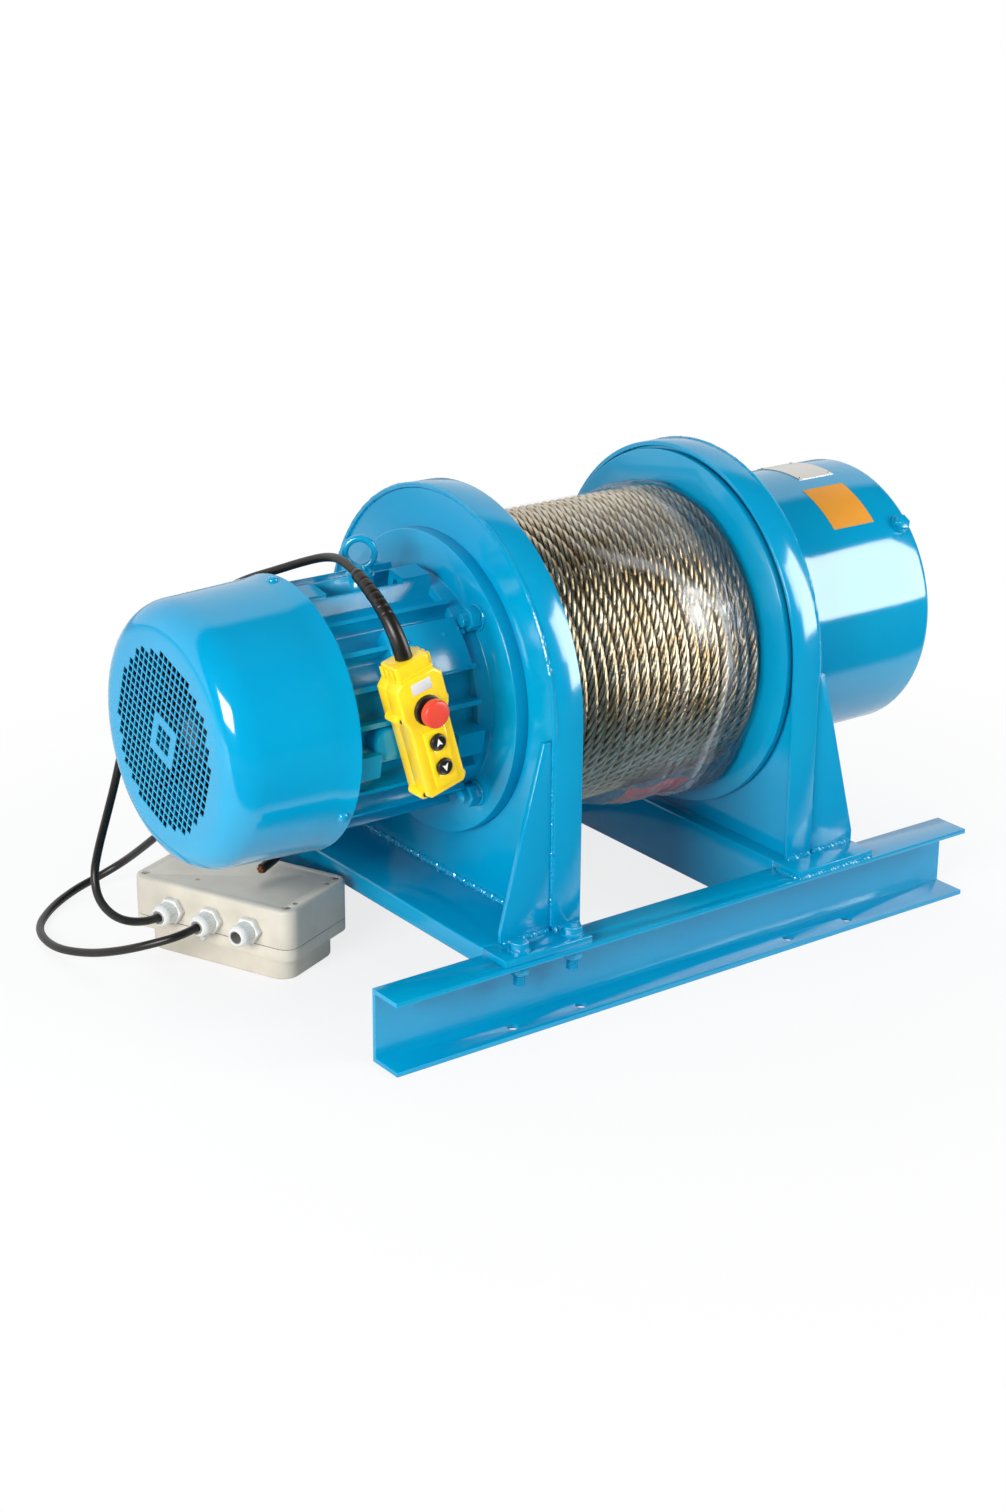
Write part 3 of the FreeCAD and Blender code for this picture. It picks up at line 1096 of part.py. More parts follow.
def cords():
    down = V(0, 0, -1)
    inside = value("gland_hex + gland_dome - gland_grip")
    motor_spot, lead_spot = [spot + down * inside for spot in terminal_gland_spots()]
    collar_top = pendant_place().multVec(V(0, value("-pendant_deep/2"), value("pendant_high + collar_high")))
    up_pendant = pendant_place().Rotation.multVec(V(0, 0, 1))
    boot_end = round_cowl([(146.1, 24.36, 32.54)])[0]
    boot = [collar_top + up_pendant * 0.5, collar_top + up_pendant * 50, boot_end]
    cord("pendant_boot", boot, value("boot_dia"), 0.9)
    spot, way = gland_seat(0)
    route = [spot, spot + way * 24]
    route += past_motor([(334.5, 98, 73), (358.5, 96, 101), (359.5, 103, 129), (345.5, 118, 149),
                         (322.5, 140, 174),
                         (298.5, 160, 206)])
    route += round_cowl([(275.5, -105.77, 41.93), (253.5, -90.64, 38.01), (231.5, -76.61, 30.69),
                         (211.5, -63.75, 20.79), (193.5, -50.27, 11.42), (177.5, -36.71, 5.23),
                         (160.5, -23.36, 1.8),
                         (144.5, -10.48, 6.47), (136.5, 1.81, 16.08), (141, 14.36, 27.29)])
    last = boot_end - route[-1]
    last.normalize()
    cord("pendant_cable", route + [boot_end - last * 1.2], value("cable_dia"))
    spot, way = gland_seat(1)
    route = [spot, spot + way * 31]
    route += past_motor([(311.5, 77, 48), (333.5, 111, 33), (348.5, 155, 18), (360.5, 208, 8),
                         (350.5, 267, 5),
                         (313.5, 309, 5), (269.5, 335, 8), (237.5, 334, 17), (213.5, 321, 33),
                         (207.5, 292, 56),
                         (199.5, 258, 85)])
    route += round_cowl([(188.5, -129.64, 144.94), (173.5, -128.21, 97.23), (155.5, -125.29, 58.84)])
    cord("motor_cable", route + [motor_spot + down * 29, motor_spot], value("cable_dia"))
    route = [lead_spot, lead_spot + down * 32]
    route += past_motor([(91.5, 138, 162), (103.5, 118, 130), (126.5, 100, 109), (151.5, 90, 101),
                         (171.5, 82, 98)])
    cord("supply_lead", route, value("lead_dia"))


cords()

DOC.recompute()
FAILED = [thing.Name for thing in DOC.Objects if {"Invalid", "Error"} & set(thing.State)]
FAILED += [thing.Label for thing in NODES if thing.Shape.isNull() or not thing.Shape.isValid()]
if FAILED:
    raise RuntimeError(f"failed objects: {FAILED}")
os.makedirs("parts", exist_ok=True)
for thing in NODES:
    thing.Shape.exportStep(f"parts/{thing.Label}.step")
print(f"{len(NODES)} nodes written")
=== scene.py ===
# %% [markdown]
# # An electric rope winch, dressed for a studio picture
# The solids come from the CAD model: this script loads them as a fixed frame and gives every
# visible piece its finish. Where a solid is too plain for the eye, a finer mesh takes its place.
# The frame is the CAD model's own: X along the drum axis from motor to gears, Z up.

# %% Load the frame
import json
import math

import bmesh
import bpy
from mathutils import Matrix, Vector, noise

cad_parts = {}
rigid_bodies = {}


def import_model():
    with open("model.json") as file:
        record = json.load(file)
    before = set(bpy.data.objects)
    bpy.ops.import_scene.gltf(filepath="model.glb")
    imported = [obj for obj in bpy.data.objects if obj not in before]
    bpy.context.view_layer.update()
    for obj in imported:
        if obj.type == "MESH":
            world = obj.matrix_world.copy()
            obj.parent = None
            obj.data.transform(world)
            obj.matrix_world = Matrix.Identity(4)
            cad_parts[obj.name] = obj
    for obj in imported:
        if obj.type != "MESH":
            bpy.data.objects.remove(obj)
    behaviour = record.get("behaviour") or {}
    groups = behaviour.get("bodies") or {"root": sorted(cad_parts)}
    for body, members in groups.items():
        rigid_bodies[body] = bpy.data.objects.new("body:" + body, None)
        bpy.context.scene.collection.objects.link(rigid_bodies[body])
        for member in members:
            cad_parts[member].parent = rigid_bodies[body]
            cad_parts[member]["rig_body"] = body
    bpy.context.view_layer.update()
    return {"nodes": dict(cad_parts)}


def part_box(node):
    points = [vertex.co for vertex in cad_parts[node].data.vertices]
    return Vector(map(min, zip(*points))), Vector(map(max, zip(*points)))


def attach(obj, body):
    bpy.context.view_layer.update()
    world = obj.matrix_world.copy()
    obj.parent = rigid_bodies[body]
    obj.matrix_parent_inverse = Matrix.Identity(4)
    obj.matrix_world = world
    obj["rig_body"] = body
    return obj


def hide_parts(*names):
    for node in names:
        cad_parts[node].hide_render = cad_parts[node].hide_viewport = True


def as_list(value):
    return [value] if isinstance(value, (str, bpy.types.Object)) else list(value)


for leftover in list(bpy.data.objects):
    bpy.data.objects.remove(leftover)
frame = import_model()
MM = 0.001
print("nodes loaded:", len(frame["nodes"]))

# %% [markdown]
# ## The camera
# The camera was found by fitting straight edges and round rims of the photograph to the solids:
# a long lens from the front left, looking down a little. It is made first, because everything
# after it is judged in its picture.

# %% Camera
CAMERA_PLACE = Vector((-1.6348, -2.1263, 1.1875))
YAW, PITCH, ROLL = (math.radians(a) for a in (36.19, 20.625, 0.369))
FOCAL_PIXELS, FRAME_HEIGHT, SENSOR = 2588.5, 1512, 36.0


def into_scene(name, data):
    """A new object at the origin, linked to the scene."""
    made = bpy.data.objects.new(name, data)
    bpy.context.scene.collection.objects.link(made)
    return made


look = Vector((math.sin(YAW) * math.cos(PITCH), math.cos(YAW) * math.cos(PITCH), -math.sin(PITCH)))
side = look.cross(Vector((0, 0, 1))).normalized()
above = side.cross(look)
right = side * math.cos(ROLL) + above * math.sin(ROLL)
up = above * math.cos(ROLL) - side * math.sin(ROLL)
lens = bpy.data.cameras.new("camera")
lens.sensor_width = SENSOR
lens.lens = SENSOR * FOCAL_PIXELS / FRAME_HEIGHT
camera = into_scene("camera", lens)
camera.matrix_world = Matrix.Translation(CAMERA_PLACE) @ Matrix((right, up, -look)).transposed().to_4x4()
bpy.context.scene.camera = camera
print("lens:", round(lens.lens, 2), "mm")

# %% [markdown]
# ## Small tools for materials
# Colours are written as the hex values that a paint chart would give. Blender wants them linear,
# so one function turns them. Another adds a node, sets its sockets and links it in one line; a
# link to a whole node means its first output.

# %% Material tools
def colour(code):
    """An sRGB hex code as linear red, green, blue and alpha."""
    shares = [int(code[i:i + 2], 16) / 255 for i in (1, 3, 5)]
    return (*[s / 12.92 if s <= 0.04045 else ((s + 0.055) / 1.055) ** 2.4 for s in shares], 1.0)


def link(made, links):
    """Joins a node's sockets to outputs, or to the first output of a node."""
    for name, source in dict(links).items():
        output = source.outputs[0] if isinstance(source, bpy.types.Node) else source
        made.id_data.links.new(output, made.inputs[name])


def node(tree, kind, settings=(), links=()):
    """Adds a node; settings go to its properties or sockets, links join its sockets to others."""
    made = tree.nodes.new("ShaderNode" + kind)
    for name, value in dict(settings).items():
        if isinstance(name, str) and hasattr(made, name):
            setattr(made, name, value)
        else:
            made.inputs[name].default_value = value
    link(made, links)
    return made


def per(size_mm):
    """A texture scale that repeats once in a length given in millimetres."""
    return 1000.0 / size_mm


def bare_tree(owner):
    """The empty node tree of a material or a world."""
    owner.use_nodes = True
    owner.node_tree.nodes.clear()
    return owner.node_tree


def finish(name, **sockets):
    """A material with one surface shader; returns it with its tree, shader and coordinates."""
    made = bpy.data.materials.new(name)
    tree = bare_tree(made)
    shader = node(tree, "BsdfPrincipled", {k.replace("_", " "): v for k, v in sockets.items()})
    node(tree, "OutputMaterial", links={"Surface": shader})
    return made, tree, shader, node(tree, "TexCoord").outputs["Object"]


def ramp(tree, source, stops):
    """A colour ramp with stops of place and colour."""
    made = node(tree, "ValToRGB", links={"Fac": source})
    points = made.color_ramp.elements
    while len(points) < len(stops):
        points.new(0.5)
    for point, (place, shade) in zip(points, stops):
        point.position, point.color = place, shade
    return made


print("a mid grey is", round(colour("#808080")[0], 3), "in linear light")

# %% [markdown]
# ## Sky-blue enamel
# The steel parts are sprayed with a glossy alkyd enamel. Under the gloss the eye sees three things:
# a slight drift of the blue, the fine orange peel of the spray, and long soft waves in the sheet
# that bend reflections. Castings get the same paint over a coarser skin. The peel is drawn at three
# to five millimetres, coarser than on the real paint, so that it shows at this distance.

# %% Enamel
BLUE, BLUE_DEEP = colour("#0098C3"), colour("#0090BF")
DRIFT_MM, WAVE_MM, DUST_MM = 140, 55, 9


def enamel(name, peel_mm, peel_height, wave_height, rough):
    made, tree, shader, place = finish(name, IOR=1.62, Specular_IOR_Level=0.5)
    drift = node(tree, "TexNoise", {"Scale": per(DRIFT_MM), "Detail": 3}, {"Vector": place})
    blue = ramp(tree, drift, [(0.3, BLUE), (0.7, BLUE_DEEP)])
    dust = node(tree, "TexNoise", {"Scale": per(DUST_MM), "Detail": 4, "Roughness": 0.7}, {"Vector": place})
    gloss = node(tree, "MapRange", {"From Min": 0.3, "From Max": 0.8, "To Min": rough,
                                    "To Max": rough + 0.05}, {"Value": dust})
    waves = node(tree, "TexNoise", {"Scale": per(WAVE_MM), "Detail": 1}, {"Vector": place})
    long_bump = node(tree, "Bump", {"Distance": wave_height * MM}, {"Height": waves})
    peel = node(tree, "TexNoise", {"Scale": per(peel_mm), "Detail": 2}, {"Vector": place})
    bump = node(tree, "Bump", {"Distance": peel_height * MM}, {"Height": peel, "Normal": long_bump})
    link(shader, {"Base Color": blue, "Roughness": gloss, "Normal": bump})
    return made


SHEET_ENAMEL = enamel("enamel_on_sheet_steel", 3.0, 0.008, 0.14, 0.08)
CAST_ENAMEL = enamel("enamel_on_casting", 5.0, 0.07, 0.4, 0.17)
PLATE_ENAMEL = enamel("enamel_on_rolled_plate", 3.5, 0.018, 0.16, 0.12)
print("enamels made")

# %% [markdown]
# ## Plastics and rubber
# The control box is moulded in warm grey ABS with a satin skin. The glands are white nylon, the
# pendant is glossy yellow ABS with a red mushroom and black buttons, and the cables have a black
# rubber sheath. Each differs from the next in gloss and in the grain of its mould.

# %% Plastics
BLOTCH_MM = 35


def moulded(name, code, rough, grain_mm, grain_height, spread=0.06, **more):
    made, tree, shader, place = finish(name, IOR=1.5, **more)
    blotch = node(tree, "TexNoise", {"Scale": per(BLOTCH_MM), "Detail": 4}, {"Vector": place})
    base = colour(code)
    dark = tuple(c * (1 - 2 * spread) for c in base[:3]) + (1.0,)
    tint = ramp(tree, blotch, [(0.3, dark), (0.65, base)])
    gloss = node(tree, "MapRange", {"To Min": rough - 0.05, "To Max": rough + 0.08}, {"Value": blotch})
    grain = node(tree, "TexNoise", {"Scale": per(grain_mm), "Detail": 2}, {"Vector": place})
    bump = node(tree, "Bump", {"Distance": grain_height * MM}, {"Height": grain})
    link(shader, {"Base Color": tint, "Roughness": gloss, "Normal": bump})
    return made


BOX_ABS = moulded("warm_grey_abs", "#CFC8BA", 0.42, 1.4, 0.04)
WHITE_NYLON = moulded("white_nylon", "#E6E6E1", 0.34, 2.0, 0.02, 0.03)
YELLOW_ABS = moulded("yellow_abs", "#FBD21E", 0.2, 2.4, 0.02, 0.03, Coat_Weight=0.3, Coat_Roughness=0.06)
RED_ABS = moulded("red_mushroom_plastic", "#E2432F", 0.36, 1.6, 0.03, 0.05)
BLACK_ABS = moulded("black_button_plastic", "#1B1A19", 0.3, 1.6, 0.02)
SHEATH = moulded("black_rubber_sheath", "#17140F", 0.36, 1.5, 0.03, 0.1)
WHITE_INK = moulded("white_filled_mark", "#F4F2EA", 0.4, 2.0, 0.01, 0.02)
GLAND_SEAL = moulded("grey_gland_seal", "#8E8F8C", 0.45, 1.5, 0.02)
TAG_RED = moulded("red_tag_foil", "#C4222B", 0.35, 3.0, 0.05)
FAN_PLASTIC = moulded("dark_fan_plastic", "#131416", 0.5, 1.5, 0.03)
SILVER_FOIL = moulded("silver_foil_label", "#D4D5D6", 0.32, 2.0, 0.01, 0.05)
PATCH_ORANGE = moulded("orange_foil_label", "#E79A2C", 0.4, 2.0, 0.01, 0.04)
print("plastics made")

# %% [markdown]
# ## Bare metals
# Screws, gears, the bare end of the supply lead and the plate on the gearbox show metal.
# A metal's colour is its reflection, so the base colour is light and the metallic share is one;
# the marks of machining are a fine stretched noise.

# %% Metals
MARK_HEIGHT = 0.02


def metal(name, code, rough, grain_mm, stretch=(1, 1, 1)):
    made, tree, shader, place = finish(name, Base_Color=colour(code), Metallic=1.0)
    drawn = node(tree, "Mapping", {"Scale": stretch}, {"Vector": place})
    grain = node(tree, "TexNoise", {"Scale": per(grain_mm), "Detail": 3}, {"Vector": drawn})
    gloss = node(tree, "MapRange", {"To Min": rough - 0.08, "To Max": rough + 0.12}, {"Value": grain})
    bump = node(tree, "Bump", {"Distance": MARK_HEIGHT * MM}, {"Height": grain})
    link(shader, {"Roughness": gloss, "Normal": bump})
    return made


ZINC = metal("zinc_plated_screw", "#A9A69C", 0.34, 2.0)
GEAR_STEEL = metal("machined_steel", "#9B9C9E", 0.36, 3.0, (8, 1, 1))
CORE_IRON = metal("laminated_iron", "#4A4B4D", 0.55, 2.0, (12, 1, 1))
COPPER = metal("bare_copper", "#C07A58", 0.34, 1.5)
PLATE_ALUMINIUM = metal("brushed_aluminium", "#D6D4CE", 0.32, 1.2, (1, 14, 14))
print("metals made")

# %% [markdown]
# ## Tools for meshes
# Most pieces are one of five things: a copy of a CAD solid with its edges broken, a turned shape
# spun from a profile, a rounded block, a tube along a line, or a sheet wrapped on to something.
# One function makes each. Meshes are built in millimetres, and the function that turns a mesh into
# a piece scales it to metres and lets it ride on its CAD body.

# %% Pieces and CAD copies
NEAR, NEARER = 0.002, 1e-4


def piece(name, bm, body, material, replaces=(), sharp=35, outward=True):
    """Turns a bmesh in millimetres into an object at the origin that rides on a body."""
    bmesh.ops.remove_doubles(bm, verts=bm.verts, dist=NEAR)
    if outward:
        bmesh.ops.recalc_face_normals(bm, faces=bm.faces)
    bmesh.ops.scale(bm, vec=(MM, MM, MM), verts=bm.verts)
    mesh = bpy.data.meshes.new(name)
    bm.to_mesh(mesh)
    bm.free()
    for one in material if isinstance(material, list) else [material]:
        mesh.materials.append(one)
    mesh.shade_smooth()
    mesh.set_sharp_from_angle(angle=math.radians(sharp))
    made = into_scene(name, mesh)
    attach(made, body)
    if replaces:
        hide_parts(*replaces)
    print(name, "has", len(mesh.polygons), "faces")
    return made


def round_off(bm, edges, size, segments=2):
    bmesh.ops.bevel(bm, geom=list(edges), offset=size, offset_type="OFFSET", affect="EDGES",
                    segments=segments, profile=0.5, material=-1, clamp_overlap=True)


def cad_copy(source):
    """A CAD node's mesh in millimetres, with its triangles merged back to whole faces."""
    bm = bmesh.new()
    bm.from_mesh(frame["nodes"][source].data)
    bmesh.ops.scale(bm, vec=(1 / MM, 1 / MM, 1 / MM), verts=bm.verts)
    bmesh.ops.remove_doubles(bm, verts=bm.verts, dist=NEAR)
    bmesh.ops.dissolve_limit(bm, angle_limit=math.radians(0.4), verts=bm.verts, edges=bm.edges)
    return bm


def sharp_edges(bm, choose=None, angle=32):
    return [e for e in bm.edges if len(e.link_faces) == 2 and e.calc_face_angle(0) > math.radians(angle)
            and (choose is None or choose(e))]


def broken_edges(source, material, round_mm, first=()):
    """A copy of a CAD node whose edges are rounded; `first` lists larger rounds with their choice."""
    bm = cad_copy(source)
    for size, segments, choose in first:
        round_off(bm, sharp_edges(bm, choose), size, segments)
    round_off(bm, sharp_edges(bm), round_mm)
    return piece(source + "_finished", bm, frame["nodes"][source]["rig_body"], material,
                 [source], outward=False)


# %% Turned shapes, hexagons and blocks
def shift(x, y, z):
    return Matrix.Translation((x, y, z))


def turn(degrees, axis):
    return Matrix.Rotation(math.radians(degrees), 4, axis)


def since(bm, before):
    """The points that a mesh has got since a set of its points was taken."""
    return [v for v in bm.verts if v not in before]


def climb(edge):
    """How far an edge climbs along Z."""
    return abs(edge.verts[0].co.z - edge.verts[1].co.z)


def turned(bm, profile, place=Matrix(), steps=48):
    """Spins a profile of (along, radius) about the local Z axis."""
    before = set(bm.verts)
    points = [bm.verts.new((r, 0, a)) for a, r in profile]
    edges = [bm.edges.new(pair) for pair in zip(points, points[1:])]
    bmesh.ops.spin(bm, geom=points + edges, cent=(0, 0, 0), axis=(0, 0, 1), angle=math.tau, steps=steps,
                   use_merge=True)
    bmesh.ops.remove_doubles(bm, verts=since(bm, before), dist=NEARER)
    bmesh.ops.transform(bm, matrix=place, verts=since(bm, before))


def hexagon(bm, place, flats, height, chamfer=1.0, both=False):
    """A hexagon head or nut that stands on the local XY plane, with its rims chamfered."""
    before = set(bm.verts)
    reach = flats / math.sqrt(3)
    bmesh.ops.create_cone(bm, cap_ends=True, segments=6, radius1=reach, radius2=reach, depth=height,
                          matrix=shift(0, 0, height / 2))
    rims = {e for v in since(bm, before) for e in v.link_edges
            if climb(e) < 1e-6 and (both or e.verts[0].co.z > height / 2)}
    round_off(bm, rims, chamfer)
    upright = {e for v in since(bm, before) for e in v.link_edges if climb(e) > height / 3}
    round_off(bm, upright, 0.4)
    bmesh.ops.transform(bm, matrix=place, verts=since(bm, before))


def block(bm, low, high, corner=0.0, edge=0.0, place=Matrix()):
    """A block between two local corners, with rounded upright edges and a small round on its rims."""
    before = set(bm.verts)
    size = [b - a for a, b in zip(low, high)]
    middle = [(a + b) / 2 for a, b in zip(low, high)]
    bmesh.ops.create_cube(bm, size=1, matrix=Matrix.Translation(middle) @ Matrix.Diagonal((*size, 1)))
    if corner:
        mine = {e for v in since(bm, before) for e in v.link_edges}
        round_off(bm, [e for e in mine if climb(e) > NEARER], corner, 5)
    if edge:
        mine = {e for v in since(bm, before) for e in v.link_edges}
        round_off(bm, [e for e in mine if e.calc_face_angle(0) > math.radians(40)], edge, 2)
    bmesh.ops.transform(bm, matrix=place, verts=since(bm, before))


print("turning tools ready")

# %% Sheets and tubes
def smooth(low, high, value):
    """A soft step from 0 to 1 between two values."""
    t = min(1.0, max(0.0, (value - low) / (high - low)))
    return t * t * (3 - 2 * t)


def sheet(bm, across, along, lay, tell=None, closed=False):
    """A grid of quads with a UV map whose points are laid by a function of two shares from 0 to 1."""
    before = set(bm.verts)
    bm.loops.layers.uv.verify()
    bmesh.ops.create_grid(bm, x_segments=across, y_segments=along, size=0.5, calc_uvs=True)
    for v in since(bm, before):
        u, w = v.co.x + 0.5, v.co.y + 0.5
        v.co = lay(u, w)
        if tell:
            tell(v, u, w)
    if closed:
        bmesh.ops.remove_doubles(bm, verts=since(bm, before), dist=NEARER)


def close_ends(bm):
    bmesh.ops.holes_fill(bm, edges=[e for e in bm.edges if e.is_boundary])


def tube(bm, line, radius, sides=12, capped=True):
    """A tube along a line of points; radius is a function of the share of the line and the angle."""
    steps = [b - a for a, b in zip(line, line[1:])]
    ways = [steps[0], *[(a.normalized() + b.normalized()) for a, b in zip(steps, steps[1:])], steps[-1]]
    ways = [w.normalized() for w in ways]
    across = ways[0].orthogonal().normalized()
    frames = []
    for way in ways:
        across = (across - way * across.dot(way)).normalized()
        frames.append((across, way.cross(across)))
    last = len(line) - 1

    def lay(u, v):
        i, angle = round(u * last), v * math.tau
        one, two = frames[i]
        return line[i] + (one * math.cos(angle) + two * math.sin(angle)) * radius(u, angle)

    sheet(bm, last, sides, lay, closed=True)
    if capped:
        close_ends(bm)


print("sheet tools ready")

# %% Places about the drum axis
AXIS_Z = 302


def on_axis(x):
    """A place on the drum axis whose local Z runs along +X."""
    return shift(x, 0, AXIS_Z) @ turn(90, "Y")


def round_place(angle, radius, x):
    """A place on a cylinder about the axis, local Z outwards; the angle runs from the top to the front."""
    return shift(x, 0, AXIS_Z) @ turn(angle, "X") @ shift(0, 0, radius)


def round_point(angle, radius, x):
    """The point at such a place."""
    about = math.radians(angle)
    return Vector((x, -radius * math.sin(about), AXIS_Z + radius * math.cos(about)))


print("the axis lies", AXIS_Z, "mm over the floor")

# %% [markdown]
# ## Cables
# Two black cables leave the box: one climbs behind the fan cowl and lies over the motor to the
# pendant, the other makes a loop on the floor and goes up to the terminal box behind. A cable is a
# smooth curve, so each is a NURBS spline with the CAD route's corners as its control points.

# %% Cable routes
ROUTES = {
    "pendant_cable": [
        (-437.906, 116.945, 58), (-459.831, 107.183, 58), (-501, 98, 73), (-525, 96, 101),
        (-526, 103, 129), (-512, 118, 149), (-489, 140, 174), (-465, 160, 206), (-442, 177, 252),
        (-420, 180, 300), (-398, 168, 342), (-378, 146, 374), (-360, 118, 400), (-344, 88, 420),
        (-327, 57, 434), (-311, 27, 448), (-303, -5, 460), (-307.5, -42, 466), (-312.4, -70.82, 461.19)],
    "motor_cable": [
        (-417.569, 71.267, 58), (-445.889, 58.658, 58), (-478, 77, 48), (-500, 111, 33),
        (-515, 155, 18), (-527, 208, 8), (-517, 267, 5), (-480, 309, 5), (-436, 335, 8), (-404, 334, 17),
        (-380, 321, 33), (-374, 292, 56), (-366, 258, 85), (-355, 221, 119), (-340, 188, 154),
        (-322, 164, 186), (-304, 152, 217.5), (-304, 152, 246.5)],
    "supply_lead": [
        (-252, 152, 246.5), (-252, 152, 214.5), (-258, 138, 162), (-270, 118, 130), (-293, 100, 109),
        (-318, 90, 101), (-338, 82, 98)],
    "pendant_boot": [(-309.835, -151.5, 394.595), (-323.396, -151.5, 442.201), (-312.6, -71.99, 461)],
}


def route_curve(name, thickness_mm):
    """A NURBS curve along a route; with no thickness it is only a line to read points from."""
    curve = bpy.data.curves.new(name, "CURVE")
    curve.dimensions = "3D"
    curve.resolution_u = 12
    curve.bevel_depth = thickness_mm / 2 * MM
    curve.bevel_resolution = 5
    curve.use_fill_caps = thickness_mm > 0
    spline = curve.splines.new("NURBS")
    spline.points.add(len(ROUTES[name]) - 1)
    for point, spot in zip(spline.points, ROUTES[name]):
        point.co = (*[c * MM for c in spot], 1.0)
    spline.order_u = 3
    spline.use_endpoint_u = True
    return into_scene(name + "_line", curve)


def line_points(name):
    """Points in millimetres, read from a route's spline."""
    bare = route_curve(name, 0)
    bare.data.resolution_u = 64
    bpy.context.view_layer.update()
    mesh = bpy.data.meshes.new_from_object(bare.evaluated_get(bpy.context.evaluated_depsgraph_get()))
    points = [v.co / MM for v in mesh.vertices]
    bpy.data.objects.remove(bare)
    bpy.data.meshes.remove(mesh)
    return points


print("routes:", ", ".join(ROUTES))

# %% Cables
CORDS = {
    "pendant_cable": dict(diameter=0.009, length=0.70, far_end="object", lay="loose"),
    "motor_cable": dict(diameter=0.009, length=0.73, far_end="object", lay="loose"),
    "supply_lead": dict(diameter=0.011, length=0.21, far_end="bare", lay="hanging"),
}
for cord_name, facts in CORDS.items():
    cord = route_curve(cord_name, facts["diameter"] / MM)
    cord.name = cord_name + "_sheath"
    cord.data.materials.append(SHEATH)
    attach(cord, "frame")
    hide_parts(cord_name)
    points = line_points(cord_name)
    print(cord_name, "is", round(sum((b - a).length for a, b in zip(points, points[1:]))), "mm long")

# %% [markdown]
# ## The pendant's boot
# A tapered rubber boot keeps the cable from kinking where it enters the pendant. It is thick and
# smooth at the pendant, and has ring grooves in its upper half so that it can bend.

# %% Boot
BOOT_LOW, BOOT_HIGH, BOOT_GROOVES, PLAIN_SHARE = 8.8, 6.6, 7, 0.45


def boot_radius(u, angle):
    wide = BOOT_LOW + (BOOT_HIGH - BOOT_LOW) * u
    if u > PLAIN_SHARE:
        wave = math.sin((u - PLAIN_SHARE) / (1 - PLAIN_SHARE) * math.tau * BOOT_GROOVES)
        wide -= 0.6 * max(0.0, wave - 0.72) / 0.28
    return wide * (1 - 0.25 * max(0.0, u - 0.97) / 0.03)


bm = bmesh.new()
tube(bm, line_points("pendant_boot"), boot_radius, sides=24)
boot = piece("pendant_boot_sleeve", bm, "frame", SHEATH, ["pendant_boot"])

# %% [markdown]
# The supply lead ends bare: a few copper strands look out of the cut sheath. With them the cables
# are complete.

# %% Bare end of the supply lead
bm = bmesh.new()
lead_line = line_points("supply_lead")
end, way = lead_line[-1], (lead_line[-1] - lead_line[-3]).normalized()
lead_turn = Matrix.Translation(end) @ way.to_track_quat("Z", "Y").to_matrix().to_4x4()
for ring, count in ((0.0, 1), (2.9, 6)):
    for i in range(count):
        a, tip = math.tau * i / count, 3.0 + (i % 3) * 0.6
        core = lead_turn @ shift(ring * math.cos(a), ring * math.sin(a), 0)
        turned(bm, [(-1, 0), (-1, 1.35), (tip, 1.3), (tip + 0.6, 0.8), (tip + 0.6, 0)], core, 10)
strands = piece("supply_lead_strands", bm, "frame", COPPER)
for cord_name, extra in (("pendant_cable", [boot]), ("motor_cable", []), ("supply_lead", [strands])):
    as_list(extra)

# %% [markdown]
# ## Painted steel with broken edges
# No edge on a real machine is perfectly sharp: paint and rolling round it, and that round catches
# a thin line of light. The CAD solids have the right shape, so each is copied, its triangles are
# merged back to whole faces, and its edges get a round of about a millimetre.

# %% Frame, stands and motor
EDGE_ROUNDS = {
    PLATE_ENAMEL: {"front_rail": 1.6, "rear_rail": 1.6, "motor_cross_beam": 2.0, "gear_cross_beam": 2.0,
                   "foot_pads": 1.0, "motor_stand_plates": 0.8, "gear_stand_plates": 0.8,
                   "motor_stand_rim": 0.9, "gear_stand_rim": 0.9, "stand_gussets": 0.8, "drum_discs": 1.0},
    CAST_ENAMEL: {"motor_flange_shield": 1.6, "motor_frame": 0.9, "motor_rear_shield": 1.2,
                  "terminal_box": 1.2, "terminal_box_lid": 1.0},
}
for paint, rounds in EDGE_ROUNDS.items():
    for source, size in rounds.items():
        broken_edges(source, paint, size)

# %% [markdown]
# ## Weld beads
# Stands, gussets and gear-side pads are arc-welded to the beams and rails. A bead is a low rounded
# seam with a ripple every few millimetres, where the welder's hand moved on. A tube half sunk in
# the corner, with a rippled and slightly uneven radius, gives just that.

# %% Welds
RIPPLE, DECK, PAD_TOP, BAND_R = 4.6, 88, 80, 206
MOTOR_FACE, GEAR_FACE = -166.5, 187.5


def weld(bm, start, end, size):
    start, end = Vector(start), Vector(end)
    length = (end - start).length
    count = max(6, round(length / 1.2))

    def radius(u, angle):
        along = u * length
        ripple = abs(math.sin(along / RIPPLE * math.pi))
        uneven = noise.noise(start * 0.11 + Vector((along * 0.12, 0, 0)))
        blunt = min(1.0, 0.35 + min(along, length - along) / 2.5)
        return size * (0.78 + 0.3 * ripple + 0.34 * uneven + 0.1 * math.sin(angle * 3 + along)) * blunt

    tube(bm, [start.lerp(end, i / count) for i in range(count + 1)], radius, sides=10)


def band_bead(u, angle):
    return 2.4 + 0.5 * abs(math.sin(u * 520)) + 0.5 * noise.noise(Vector((u * 70, 2, 3)))


